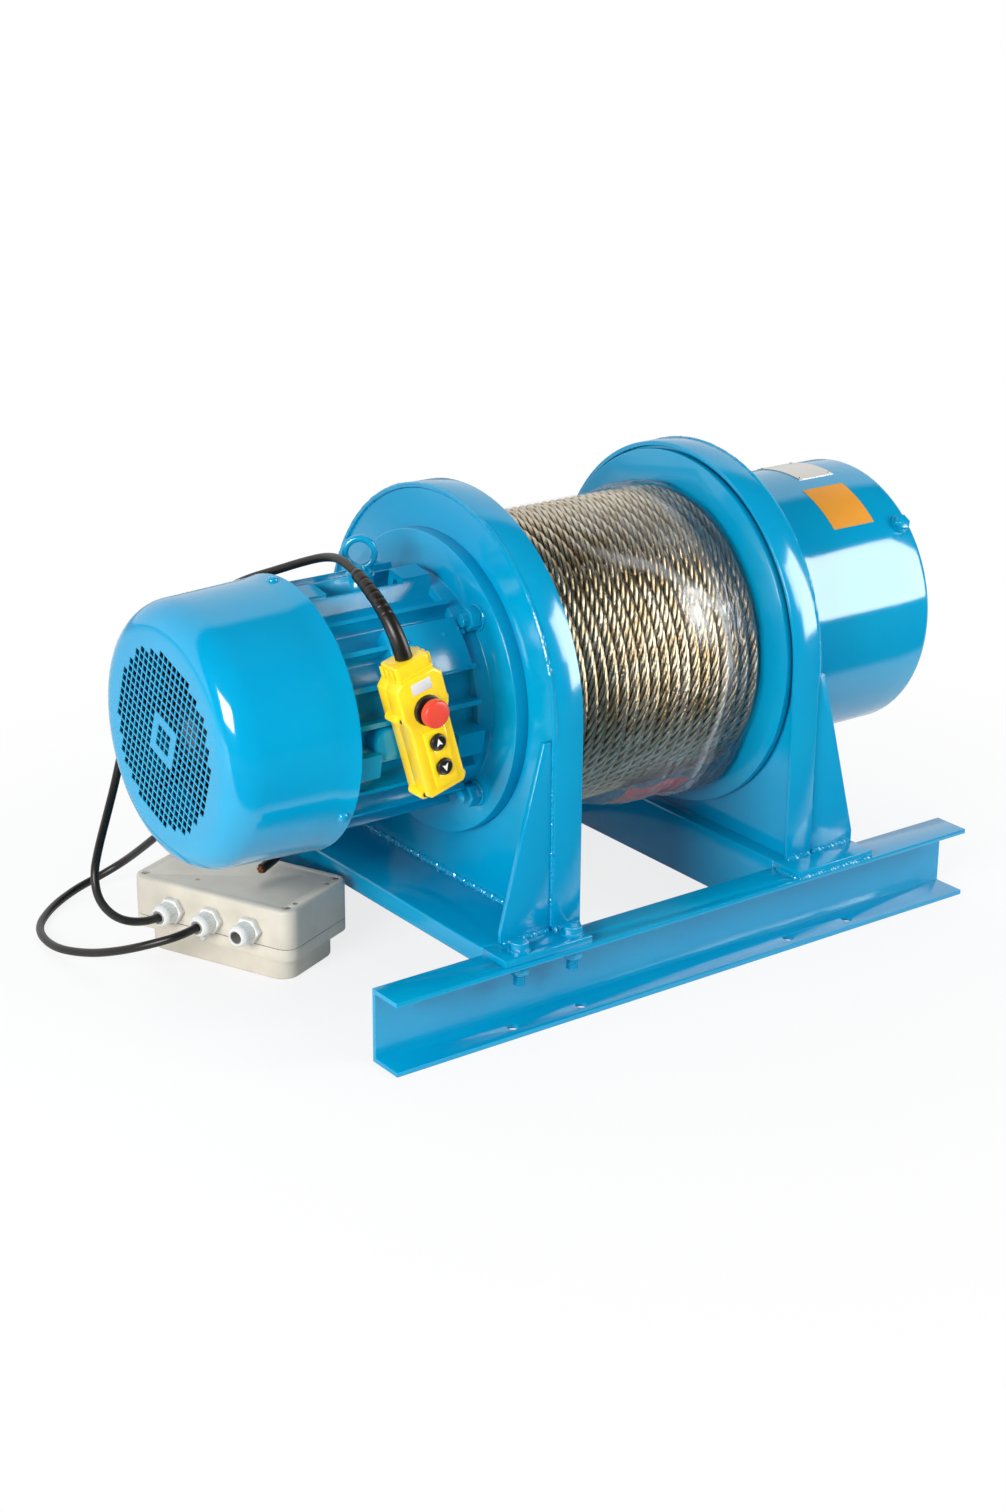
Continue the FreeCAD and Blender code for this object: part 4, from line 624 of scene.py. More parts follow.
bm = bmesh.new()
for face, way, foot in ((MOTOR_FACE, -1, (-166, -132)), (GEAR_FACE, 1, (153, 187))):
    weld(bm, (face, -198, DECK), (face, 198, DECK), 4.2)
    for front in (-1, 1):
        weld(bm, (foot[0], front * 208, DECK), (foot[1], front * 208, DECK), 3.6)
        for cheek in (front * 199, front * 205):
            weld(bm, (face, cheek, DECK + 3), (face, cheek, DECK + 203), 2.2)
            weld(bm, (face + 3 * way, cheek, DECK), (face + 62 * way, cheek, DECK), 3.2)
for front in (-1, 1):
    weld(bm, (143, front * 241, PAD_TOP), (248, front * 241, PAD_TOP), 2.6)
    for end_x in (141, 250):
        weld(bm, (end_x, front * 206, PAD_TOP), (end_x, front * 240, PAD_TOP), 3.2)
for face in (MOTOR_FACE, GEAR_FACE):
    tube(bm, [round_point(a / 2, BAND_R, face) for a in range(-210, 211)], band_bead, 10)
piece("weld_beads", bm, "frame", PLATE_ENAMEL)

# %% [markdown]
# ## Bolts, nuts and screws
# The motor side of the base is bolted down: hexagon heads on washers above, nuts and a length of
# thread below. Four nuts on studs hold the motor flange. All were painted over with the frame.

# %% Base bolts
THREAD_STEP, THREAD_DEEP, WASHER = 1.75, 0.85, 2.5


def thread(low, high, radius):
    """The profile of a thread's end: rings a thread step apart, with a chamfered tip at the low end."""
    rows, along = [(low, 0), (low, radius - 1.2)], low + 0.8
    while along + THREAD_STEP < high:
        for share, depth in ((0, 0), (0.3, 0), (0.6, THREAD_DEEP), (0.7, THREAD_DEEP)):
            rows.append((along + THREAD_STEP * share, radius - depth))
        along += THREAD_STEP
    return rows + [(high, radius)]


def washer(bm, place, bore, out):
    rim = [(0, out), (WASHER - 0.4, out), (WASHER, out - 0.4)]
    turned(bm, [(0, bore), *rim, (WASHER, bore), (0, bore)], place, 40)


bm = bmesh.new()
for x in (-155, -222.5):
    for y in (-226, 226):
        spun = Matrix.Rotation(0.3 + x * 0.7 + y * 0.13, 4, "Z")
        turned(bm, thread(49.5, DECK, 6), shift(x, y, 0), 28)
        for under in (DECK, 72.5):
            washer(bm, shift(x, y, under), 6.4, 12)
        hexagon(bm, shift(x, y, DECK + WASHER) @ spun, 18, 7.5, 0.9)
        turned(bm, [(97.8, 7.4), (98.2, 7.1), (98.35, 6.4), (98.35, 0)], shift(x, y, 0), 28)
        hexagon(bm, shift(x, y, 62.5) @ spun, 18, 10, 0.9, both=True)
piece("base_bolts_finished", bm, "frame", PLATE_ENAMEL, ["base_bolts"])

# %% Flange nuts
TO_MOTOR = turn(-90, "Y")
bm = bmesh.new()
for angle in (45, 135, 225, 315):
    at = Matrix.Translation(round_point(angle, 134.5, -182)) @ TO_MOTOR
    spun = Matrix.Rotation(angle * 0.9, 4, "Z")
    washer(bm, at, 7.2, 14)
    hexagon(bm, at @ shift(0, 0, WASHER) @ spun, 22, 12, 1.2, both=True)
    turned(bm, [(-a, r) for a, r in thread(-21.5, 0, 7)], at, 28)
piece("flange_studs_finished", bm, "frame", PLATE_ENAMEL, ["flange_studs"])

# %% [markdown]
# ## Motor casting details
# A forged lifting eye is screwed into the boss on top. On the front of the frame a smooth pad takes
# the place of a few fins, and a round boss is cast lower down. The eye is a ring spun from a circle;
# the pad is a rectangle spun through a part of a turn about the motor's axis. Small screws hold the
# cowl and the lid of the terminal box.

# %% Lifting eye
EYE_X, EYE_HIGH, EYE_FOOT, EYE_R, EYE_BAR = -261, 455.5, 433, 15, 3.75
bm = bmesh.new()
circle = bmesh.ops.create_circle(bm, segments=18, radius=EYE_BAR, matrix=shift(EYE_R, 0, 0) @ turn(90, "X"))
circle_edges = list({e for v in circle["verts"] for e in v.link_edges})
bmesh.ops.spin(bm, geom=circle["verts"] + circle_edges, cent=(0, 0, 0), axis=(0, 0, 1), angle=math.tau,
               steps=56, use_merge=True)
bmesh.ops.transform(bm, matrix=shift(EYE_X, 0, EYE_HIGH) @ turn(-36, "Z") @ turn(90, "X"), verts=bm.verts)
turned(bm, [(0, 0), (0, 13.0), (2.2, 13.0), (3.2, 12.2), (4.2, 8.6), (6.5, 6.2), (10.5, 4.6), (10.5, 0)],
       shift(EYE_X, 0, EYE_FOOT), 40)
piece("lifting_eye_finished", bm, "frame", CAST_ENAMEL, ["lifting_eye"])

# %% Pad and boss
PAD_X, PAD_R, PAD_FROM, PAD_TO = (-292, -204), (110, 131.2), 41, 66.5
bm = bmesh.new()
corners = [bm.verts.new((PAD_X[i], 0, PAD_R[j])) for i, j in ((0, 0), (0, 1), (1, 1), (1, 0))]
outline = bm.faces.new(corners)
bmesh.ops.transform(bm, matrix=turn(PAD_FROM, "X"), verts=corners)
bmesh.ops.spin(bm, geom=[outline, *outline.edges, *corners], cent=(0, 0, 0), axis=(1, 0, 0),
               angle=math.radians(PAD_TO - PAD_FROM), steps=14)
bmesh.ops.recalc_face_normals(bm, faces=bm.faces)
round_off(bm, sharp_edges(bm, angle=40), 2.5, 3)
bmesh.ops.translate(bm, vec=(0, 0, AXIS_Z), verts=bm.verts)
for x in (-226, -270):
    turned(bm, [(0, 2.6), (0.8, 2.5), (1.5, 1.7), (1.8, 0)], round_place(49, PAD_R[1] - 0.1, x), 16)
turned(bm, [(0, 17.5), (17.5, 17), (19.5, 15.6), (20.2, 13.5), (20.2, 0)], round_place(91.5, 111, -312), 48)
piece("frame_pad_and_boss", bm, "frame", CAST_ENAMEL)

# %% Cowl screws and lid screws
bm = bmesh.new()
for angle in (0, 120, 240):
    turned(bm, [(-8, 3), (0, 3), (0, 6.6), (1.0, 6.6), (1.3, 5.6), (2.6, 5.3), (3.8, 4.2), (4.4, 2.4),
                (4.5, 0)], round_place(angle, 141.4, -364), 28)
piece("cowl_screws_finished", bm, "frame", PLATE_ENAMEL, ["cowl_screws"])

bm = bmesh.new()
FROM_EDGE = 9
low, high = (Vector(corner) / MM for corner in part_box("terminal_box_lid"))
for x in (low.x + FROM_EDGE, high.x - FROM_EDGE):
    for z in (low.z + FROM_EDGE, high.z - FROM_EDGE):
        turned(bm, [(-1, 4.4), (0.6, 4.4), (1.8, 3.7), (2.5, 2.4), (1.0, 1.8), (1.0, 0)],
               shift(x, high.y, z) @ turn(-90, "X"), 24)
piece("terminal_lid_screws", bm, "frame", ZINC)

# %% [markdown]
# ## Fan cowl
# The cowl is a deep-drawn steel cup over the fan: slightly conical, with a wide bend, a rolled hem at
# its rim and a flat end that is punched with square holes. The wall is spun from a profile. The end is
# a grid whose cells are inset one by one; the middles are deleted, so the bars stay. One plain square
# ring is left between the small group in the middle and the rest.

# %% Cowl
CELL, BAR, CELLS, PLAIN_RING, GRILLE_TURN = 8.6, 1.7, 25, 2, 19.2
REACH, DISC_R, END_X, COWL_SHEET = 95.5, 107, -494, 1.1


def thicken(bm, thick):
    """Turns a skin about the drum axis outwards and gives it a thickness."""
    bmesh.ops.recalc_face_normals(bm, faces=bm.faces)
    if sum((f.calc_center_median() - Vector((0, 0, AXIS_Z))).dot(f.normal) for f in bm.faces) < 0:
        bmesh.ops.reverse_faces(bm, faces=bm.faces)
    bmesh.ops.solidify(bm, geom=bm.faces[:], thickness=thick)


bm = bmesh.new()
bmesh.ops.create_grid(bm, x_segments=CELLS, y_segments=CELLS, size=CELLS * CELL / 2)
outside = [f for f in bm.faces if max(v.co.length for v in f.verts) > DISC_R - 1]
bmesh.ops.delete(bm, geom=outside, context="FACES")
rim = [e for e in bm.edges if e.is_boundary]
punched = [f for f in bm.faces if f.calc_center_median().length < REACH
           and not any(e.is_boundary for e in f.edges)
           and round(max(abs(c) for c in f.calc_center_median()) / CELL) != PLAIN_RING]
bmesh.ops.inset_individual(bm, faces=punched, thickness=BAR / 2, use_even_offset=True)
bmesh.ops.delete(bm, geom=punched, context="FACES_ONLY")
bmesh.ops.transform(bm, matrix=turn(GRILLE_TURN, "Z"), verts=bm.verts)
disc = bmesh.ops.create_circle(bm, segments=96, radius=DISC_R)
disc_edges = list({e for v in disc["verts"] for e in v.link_edges})
bmesh.ops.triangle_fill(bm, use_beauty=True, edges=[e for e in rim if e.is_valid] + disc_edges)
bmesh.ops.translate(bm, vec=(0, 0, END_X), verts=bm.verts)
print("holes punched:", len(punched))

# %% Cowl wall
BEND_X, BEND_R, BEND_LONG, BEND_HIGH = -458, 107.5, 36, 30.5
bend = [(BEND_X - BEND_LONG * math.sin(a), BEND_R + BEND_HIGH * math.cos(a))
        for a in [math.radians(9 * i) for i in range(10)]]
wall = [(-352.9, 140.6), (-352.6, 142.2), (-353.6, 143.3), (-355.2, 143.2), (-356.6, 142.2), (-380, 141.2),
        (-420, 139.6), *bend, (END_X, DISC_R)]
turned(bm, wall, steps=96)
bmesh.ops.remove_doubles(bm, verts=bm.verts, dist=0.05)
bmesh.ops.transform(bm, matrix=on_axis(0), verts=bm.verts)
thicken(bm, COWL_SHEET)
piece("fan_cowl_finished", bm, "frame", SHEET_ENAMEL, ["fan_cowl"], outward=False)

# %% [markdown]
# ## Wire rope
# One layer of six-strand steel rope is wound on the drum. A strand is a bundle of wires, and the
# strands wind to the right about a core, so each wrap shows leaning lens-shaped strands with dark
# gaps. The mesh lines follow the strands: the section with six lobes turns as it goes along. Each point
# stores how far it stands out and how far it faces away from the drum, and the material paints shade
# by that: dark brown in the gaps and on the side towards the drum, bright wire on the outer crowns.
# The single wires are a fine bump along the UV map.

# %% Rope material
ROPE_TURNS, ROPE_PITCH, ROPE_R, ROPE_THICK, LAY, ROPE_SIDES = 19.0, 13.65, 155.9, 13.0, 78.0, 36
ROPE_PARTS, STRANDS, WIRES, WIRE_LAY = 2, 6, 9, 46.0
TURN_LONG = math.tau * ROPE_R
ROPE_LONG = ROPE_TURNS * TURN_LONG

ROPE_STEEL, tree, shader, place = finish("bright_rope_wire", Metallic=1.0)
wire_step = (ROPE_LONG / ROPE_PARTS / WIRE_LAY * WIRES * math.tau, STRANDS * WIRES * math.tau, 0)
phase = node(tree, "VectorMath", {"operation": "DOT_PRODUCT", 1: wire_step},
             {0: node(tree, "TexCoord").outputs["UV"]})
wire = node(tree, "Math", {"operation": "SINE"}, {0: phase.outputs["Value"]})
oil = node(tree, "TexNoise", {"Scale": per(26), "Detail": 3}, {"Vector": place})
tone = ramp(tree, oil, [(0.3, colour("#C6AE82")), (0.7, colour("#F0E5CE"))])
# 1 on the outer crowns of the strands, 0 in the gaps and towards the drum; the dark brown it mixes in is
# painted shade.
painted_light_share = node(tree, "Attribute", {"attribute_name": "painted_light_share"})
bright = node(tree, "MapRange", {"From Min": 0.05, "From Max": 0.6}, {"Value": painted_light_share.outputs["Fac"]})
wire_with_painted_shade = node(tree, "Mix", {"data_type": "RGBA", 6: colour("#2E2414")}, {0: bright, 7: tone})
gloss = node(tree, "MapRange", {"To Min": 0.17, "To Max": 0.32}, {"Value": oil})
bump = node(tree, "Bump", {"Distance": 0.12 * MM, "Strength": 0.8}, {"Height": wire})
link(shader, {"Base Color": wire_with_painted_shade.outputs[2], "Roughness": gloss, "Normal": bump})
print("rope length:", round(ROPE_LONG * MM, 2), "m")

# %% Rope
DRUM_MID = 10.5
ROPE_START = DRUM_MID - ROPE_TURNS * ROPE_PITCH / 2
STRAND_OUT, STRAND_R = ROPE_THICK / 3, ROPE_THICK / 6 * 1.05


def strand_reach(v):
    """How far the six-lobed section reaches at a share of its way round."""
    swing = ((v * STRANDS) % 1 - 0.5) / STRANDS * math.tau
    return STRAND_OUT * math.cos(swing) + math.sqrt(STRAND_R ** 2 - (STRAND_OUT * math.sin(swing)) ** 2)


GROOVE = strand_reach(0)
CROWN = strand_reach(0.5 / STRANDS)


def rope_part(first, last):
    bm = bmesh.new()
    painted_light_layer = bm.verts.layers.float.new("painted_light_share")

    def wrap_and_roll(u, v):
        wrap = first + (last - first) * u
        return wrap, v * math.tau + wrap * TURN_LONG / LAY * math.tau

    def lay(u, v):
        wrap, roll = wrap_and_roll(u, v)
        about = wrap * math.tau + 2.6
        out = Vector((0, -math.sin(about), math.cos(about)))
        spot = Vector((ROPE_START + ROPE_PITCH * wrap, 0, AXIS_Z)) + out * ROPE_R
        return spot + (out * math.cos(roll) + Vector((-1, 0, 0)) * math.sin(roll)) * strand_reach(v)

    # Stores the painted light share: how far the section stands out, times how far it faces away from the
    # drum.
    def tell_painted_light(vert, u, v):
        outer = smooth(-0.1, 0.6, math.cos(wrap_and_roll(u, v)[1]))
        vert[painted_light_layer] = (strand_reach(v) - GROOVE) / (CROWN - GROOVE) * outer

    sheet(bm, round((last - first) * TURN_LONG / 4.9), ROPE_SIDES, lay, tell_painted_light, closed=True)
    close_ends(bm)
    return bm


half_way = ROPE_TURNS / ROPE_PARTS
piece("wire_rope_motor_half", rope_part(0, half_way), "drum", ROPE_STEEL, ["wire_rope"], 80)
piece("wire_rope_gear_half", rope_part(half_way, ROPE_TURNS), "drum", ROPE_STEEL, sharp=80)

# %% [markdown]
# ## Wrapping film
# For transport the rope is wrapped in clear stretch film. Drawn tight it is almost unseen; where it is
# loose, beside the gear-side disc and under the drum, it bulges and creases, and the creases look
# milky. A fine sheet round the drum is lifted by ridged noise, and the same number that lifts a crease
# is stored on its points, so that the material can make it cloudier there. The stored cloudiness also
# holds painted light: a whitish painted sheen over the top and a painted glare patch at the front. Past
# the loose brim the film is coloured dark blue, a painted reflection of the blue parts beside it.

# %% Folds of the film
FILM_FROM, FILM_TO, FILM_R = -121.5, 142.5, 163.5


def ridge(x, y, z):
    """A ridged noise from 0 to 1 whose sharp crests are creases."""
    return 1 - min(1.0, abs(noise.noise(Vector((x, y, z)))) * 2.2)


def hill(middle, half, value):
    """A smooth hill that is 1 at its middle and falls to 0 at half its width on each side."""
    return 1 - smooth(0, half, abs(value - middle))


def film_at(u, v):
    """The film's height over the rope and its cloudiness, by shares along and round the drum; the
    cloudiness holds a painted sheen on top and a painted glare patch.
    """
    about = v * math.tau
    low = math.degrees(about)
    ring = Vector((math.sin(about), math.cos(about)))
    sway = noise.noise(Vector((ring.x * 2, ring.y * 2, u * 3)))
    loose = smooth(0.8, 0.86, u + 0.02 * sway)
    pleat = ridge(u * 26 + sway, ring.x * 1.2 + 4, ring.y * 1.2) ** 3
    streak = ridge(u * 60, ring.x * 2 + 9, ring.y * 2) ** 4
    brim = hill(0.81 + 0.015 * sway, 0.024, u) * smooth(50, 72, low) * (1 - smooth(150, 170, low))
    slant = 6 + 68 * u + 6 * sway
    fold = hill(slant, 5.5, low) * smooth(0.2, 0.5, u)
    # Painted sheen: the top of the film is made cloudier, in place of its reflection of the bright
    # backdrop.
    painted_top_sheen = (1 - smooth(slant - 26, slant - 2, low)) if low < 180 else smooth(310, 350, low)
    # Painted highlight: a cloudy patch at the front in place of a softbox's glare on the film.
    painted_glare = hill(0.7 + 0.002 * (low - 66), 0.09, u) * hill(66, 17, low) * (0.6 + 0.4 * streak)
    belly = smooth(112, 150, low) * (1 - smooth(160, 182, low)) * smooth(0.3, 0.62, u)
    under = smooth(104, 126, low) * (1 - smooth(176, 200, low))
    hem = smooth(0, 0.03, u) * smooth(0, 0.03, 1 - u)
    lift = 0.4 + 0.8 * fold + 2.2 * brim + loose * (2.6 + 2.4 * pleat) + belly * (14.0 + 2.0 * pleat)
    haze = (0.01 + painted_top_sheen * (0.11 + 0.1 * streak) + 0.24 * fold + 0.62 * painted_glare + 0.26 * brim
            + loose * (0.2 + 0.26 * pleat ** 2 + 0.18 * streak)
            + under * (0.06 + 0.16 * streak) + belly * 0.2)
    return lift * hem, min(1.0, haze)


print("film is", FILM_TO - FILM_FROM, "mm wide")

# %% Film
FILM, tree, shader, place = finish("clear_polyethylene_film", Roughness=0.12, IOR=1.5,
                                   Specular_IOR_Level=1.0)
along = node(tree, "SeparateXYZ", links={0: place})
# Past the brim the colour turns dark blue: painted reflection of the blue disc and stand beside it.
painted_reflection_share = node(tree, "MapRange", {"From Min": 0.092, "From Max": 0.104}, {"Value": along.outputs["X"]})
shade = ramp(tree, painted_reflection_share, [(0.0, colour("#E8EDEF")), (1.0, colour("#4A667C"))])
haze_and_painted_sheen = node(tree, "Attribute", {"attribute_name": "haze"})
crinkle = node(tree, "TexNoise", {"Scale": per(9), "Detail": 4, "Roughness": 0.6}, {"Vector": place})
uneven = node(tree, "MapRange", {"From Min": 0.3, "From Max": 0.7, "To Min": 0.6, "To Max": 1.3},
              {"Value": crinkle})
see = node(tree, "Math", {"operation": "MULTIPLY", "use_clamp": True}, {0: haze_and_painted_sheen.outputs["Fac"], 1: uneven})
bump = node(tree, "Bump", {"Distance": 0.25 * MM}, {"Height": crinkle})
link(shader, {"Base Color": shade, "Alpha": see, "Normal": bump})

bm = bmesh.new()
haze_and_painted_sheen_layer = bm.verts.layers.float.new("haze")


def lay_film(u, v):
    return round_point(v * 360, FILM_R + film_at(u, v)[0], FILM_FROM + (FILM_TO - FILM_FROM) * u)


def tell_haze(vert, u, v):
    vert[haze_and_painted_sheen_layer] = film_at(u, v)[1]


sheet(bm, 220, 360, lay_film, tell_haze, closed=True)
piece("stretch_film_wrap", bm, "drum", FILM, ["stretch_film"], sharp=60)

# %% [markdown]
# A red tag is tucked under the loose film at the bottom; only its colour shows through.

# %% Tag
def lay_tag(u, v):
    x, low = 6 + 82 * u + 6 * v, 138 + 22 * v + 1.5 * math.sin(u * 7)
    over = film_at((x - FILM_FROM) / (FILM_TO - FILM_FROM), low / 360)[0]
    return round_point(low, FILM_R + over - 1.2, x)


bm = bmesh.new()
sheet(bm, 30, 24, lay_tag)
bmesh.ops.recalc_face_normals(bm, faces=bm.faces)
bmesh.ops.solidify(bm, geom=bm.faces[:], thickness=0.3)
piece("red_tag", bm, "drum", TAG_RED, outward=False)

# %% [markdown]
# ## Gearbox cover
# The cover is a drawn cup that slips over the ring gear, with a step at the stand and a rounded end
# with a shallow pressed ring. It carries a hexagon oil plug, a riveted plate and a foil label; the
# plate and the label are bare.

# %% Cover and plug
COVER_R, END_ROUND = 153.3, 8.5
bm = bmesh.new()
end_round = [(211.5 + END_ROUND * math.sin(a), COVER_R - END_ROUND + END_ROUND * math.cos(a))
             for a in [math.radians(15 * i) for i in range(7)]]
turned(bm, [(0.3, 148.5), (0, 155.4), (0.6, 156.3), (6.2, 156.3), (7.0, 155.5), (7.2, COVER_R + 0.3),
            (8.2, COVER_R), (60, COVER_R), (120, COVER_R), (180, COVER_R), *end_round, (220, 128),
            (219.4, 126), (218.6, 125), (218.6, 109), (219.4, 108), (220, 106), (220, 40), (220, 0)],
       on_axis(GEAR_FACE), 128)
piece("gearbox_cover_finished", bm, "frame", SHEET_ENAMEL, ["gearbox_cover"])

bm = bmesh.new()
at = round_place(46.7, 153.4, 390.5)
turned(bm, [(0, 10.6), (1.5, 10.6), (2.1, 10.0), (2.1, 0)], at, 32)
hexagon(bm, at @ shift(0, 0, 2) @ Matrix.Rotation(0.35, 4, "Z"), 17, 6, 1.0)
turned(bm, [(7.8, 6.6), (8.25, 6.3), (8.4, 5.6), (8.4, 0)], at, 24)
piece("oil_plug_finished", bm, "frame", PLATE_ENAMEL, ["oil_plug"])

# %% Bare plate and label
def curved_plate(name, x_from, x_to, a_from, a_to, material, thick, rivets=False):
    def lay(u, v):
        return round_point(a_from + (a_to - a_from) * v, COVER_R + thick, x_from + (x_to - x_from) * u)

    bm = bmesh.new()
    sheet(bm, 8, 20, lay)
    thicken(bm, thick)
    if rivets:
        for x in (x_from + 3.5, x_to - 3.5):
            for a in (a_from + 1.6, a_to - 1.6):
                at = round_place(a, COVER_R + thick - 0.05, x)
                turned(bm, [(0, 1.7), (0.5, 1.5), (0.9, 0.9), (1.0, 0)], at, 14)
    piece(name, bm, "frame", material, outward=False)


curved_plate("bare_plate", 311, 362, -16, 11, PLATE_ALUMINIUM, 0.9, rivets=True)
curved_plate("bare_label", 297, 357, 19, 43, PATCH_ORANGE, 0.35)

# %% [markdown]
# ## Control box
# The box is moulded in two halves: a tray with large corner rounds under a lip, and a lid of the same
# outline as the lip. The solids are right, so copies get their rounds: a wide one along the lid's top,
# and a narrow one on each side of the joint, where a black strip set into the joint paints the seam's
# shade. Small metal eyelets sit in the lid, and a white nub in the tray's side.

# %% Box halves
BOX = shift(-352.1, 103.7, 0) @ turn(24, "Z")
LID_DEEP, LID_LONG, LID_CORNER, LID_TOP, JOINT = 115, 207, 16, 86, 42


def off_outline(spot):
    """How far a point lies inside the lid's rounded outline."""
    local = BOX.inverted() @ spot
    x, y = abs(local.x) - LID_DEEP / 2 + LID_CORNER, abs(local.y) - LID_LONG / 2 + LID_CORNER
    return LID_CORNER - (math.hypot(x, y) if x > 0 and y > 0 else max(x, y))


def outline_at(height):
    return lambda edge: all(abs(v.co.z - height) < 0.05 and off_outline(v.co) < 0.2 for v in edge.verts)


def tray_foot(edge):
    return all(v.co.z < 0.05 for v in edge.verts)


seam = (1.0, 2, outline_at(JOINT))
broken_edges("control_box_lid", BOX_ABS, 0.5, [(3.5, 4, outline_at(LID_TOP)), seam])
broken_edges("control_box_base", BOX_ABS, 0.8, [(3.0, 3, tray_foot), seam])
broken_edges("lid_screws", ZINC, 0.2)

# %% Seam shade strip, eyelets and nub
SEAM_STRIP_IN, SEAM_STRIP_HALF = 0.45, 0.7
# A black strip set into the joint: painted shade along the seam.
bm = bmesh.new()
half_deep, half_long = LID_DEEP / 2 - SEAM_STRIP_IN, LID_LONG / 2 - SEAM_STRIP_IN
block(bm, (-half_deep, -half_long, JOINT - SEAM_STRIP_HALF), (half_deep, half_long, JOINT + SEAM_STRIP_HALF),
      LID_CORNER - SEAM_STRIP_IN, 0, BOX)
piece("seam_shade_strip", bm, "frame", SHEATH)
bm = bmesh.new()
for x, y in ((-32, 33), (-32, -93), (28, -93), (28, 93)):
    turned(bm, [(-0.5, 2.8), (0.2, 2.8), (0.4, 2.4), (0.3, 1.7), (0.1, 1.6), (0.1, 0)],
           BOX @ shift(x, y, LID_TOP), 20)
piece("lid_inserts", bm, "frame", ZINC)
bm = bmesh.new()
turned(bm, [(0, 3.2), (2.5, 3.1), (3.6, 2.2), (3.9, 0)], BOX @ shift(-LID_DEEP / 2, 8.3, 34) @ TO_MOTOR, 20)
piece("tray_nub", bm, "frame", WHITE_NYLON)

# %% [markdown]
# ## Cable glands
# A gland is a white nylon cone nut on a hexagon. The nut has ribs to grip it, its mouth curves in to
# a rubber ring that seals on the cable. The spare one is open. The nut is a short tube whose radius
# carries both the dome and the ribs.

# %% Glands
HEX, DOME, NUT_TOP, NUT_R, RIBS = 8.0, 20.5, 27.5, 11.5, 18


def gland(bm, rings, place, bore, deep=7):
    hexagon(bm, place, 26, HEX, 1.2, both=True)
    steps = [HEX, HEX + 0.8, HEX + 1.2, HEX + 2.6, 13, 16, 19, 20.4, 21.4, 23, 24.6, 26, 27, NUT_TOP]
    last = len(steps) - 1

    def radius(u, angle):
        along = steps[round(u * last)]
        bent = max(0.0, (along - DOME) / (NUT_TOP - DOME))
        shape = NUT_R + 0.3 - 3.4 * bent ** 2.2 - (0.9 if along < HEX + 1 else 0)
        ribbed = smooth(HEX + 1, HEX + 2.4, along) * (1 - smooth(19, 21.5, along))
        return shape - 0.75 * ribbed * (0.5 - 0.5 * math.cos(angle * RIBS)) ** 2

    tube(bm, [place @ Vector((0, 0, a)) for a in steps], radius, sides=RIBS * 6, capped=False)
    mouth = [(-0.02, 8.4), (0, 7.6), (-1.2, 6.9), (-6, 6.8)]
    seal = [(-1.4, 7.2), (-0.6, 6.4), (-0.8, bore + 0.2), (-deep, bore), (-deep, 0)]
    turned(bm, [(NUT_TOP + a, r) for a, r in mouth], place, RIBS * 6)
    turned(rings, [(NUT_TOP + a, r) for a, r in seal], place, 40)


bm, rings = bmesh.new(), bmesh.new()
for row, bore, deep in ((47, 4.6, 7), (-3, 4.6, 7), (-53, 6.0, 22)):
    gland(bm, rings, BOX @ shift(-LID_DEEP / 2, row, 58) @ TO_MOTOR, bore, deep)
for x, bore in ((-304, 4.6), (-252, 5.6)):
    gland(bm, rings, shift(x, 152, 262) @ turn(180, "X"), bore)
piece("cable_glands_finished", bm, "frame", WHITE_NYLON, ["cable_glands"])
piece("gland_seals", rings, "frame", GLAND_SEAL)

# %% [markdown]
# ## Pendant
# The pendant's two shells and its collar are glossy yellow. The mould gave every edge a generous
# round, so the shells are rounded twice: their front and back rims first, the small edges after.
# Ears with screws, grips on the collar and a bare foil label are added.

# %% Pendant shells
PENDANT = shift(-269.7, -133, 253.7) @ turn(-15.9, "Y")
INTO_PENDANT = PENDANT.inverted()


def rim_at(depth):
    def choose(edge):
        return edge.is_convex and all(abs((INTO_PENDANT @ v.co).y - depth) < 0.05 for v in edge.verts)
    return choose


broken_edges("pendant_front_shell", YELLOW_ABS, 0.7, [(3.4, 3, rim_at(-37)), (1.2, 2, rim_at(-40.5))])
broken_edges("pendant_back_shell", YELLOW_ABS, 0.6, [(2.4, 3, rim_at(0))])
broken_edges("pendant_collar", YELLOW_ABS, 1.2)

# %% Ears, grips and label
TO_FRONT = turn(90, "X")
bm, heads = bmesh.new(), bmesh.new()
for x, z in ((-26.5, 91), (26.5, 91), (-23, 4.5), (23, 4.5)):
    at = PENDANT @ shift(x, -7, z) @ TO_FRONT
    turned(bm, [(0, 0), (0, 4.4), (0.8, 5.2), (21.4, 5.2), (22.6, 4.6), (23, 3.6), (23, 0)], at, 28)
    turned(heads, [(22.9, 2.9), (23.6, 2.7), (24.0, 1.8), (24.1, 0)], at, 20)
for x in (-21, 21):
    for y in (-27, -18.5, -10):
        block(bm, (x - 2.2, y - 2.6, 131.5), (x + 2.2, y + 2.6, 144.5), 0.9, 0.7, PENDANT)
block(bm, (-21.5, -34.5, 130.6), (21.5, -2.5, 134), 4, 0.8, PENDANT)
piece("pendant_ears", bm, "frame", YELLOW_ABS)
piece("pendant_ear_screws", heads, "frame", ZINC)

bm = bmesh.new()
block(bm, (-11, -37.35, 113), (12, -36.8, 125), 0, 0.1, PENDANT)
piece("pendant_bare_label", bm, "frame", SILVER_FOIL)

# %% [markdown]
# ## Emergency stop and buttons
# The red mushroom sits on a black ring and has fine grip ribs on its side. The black buttons are
# slightly dished, with a plain white arrow let into each. Each rides on its own body.

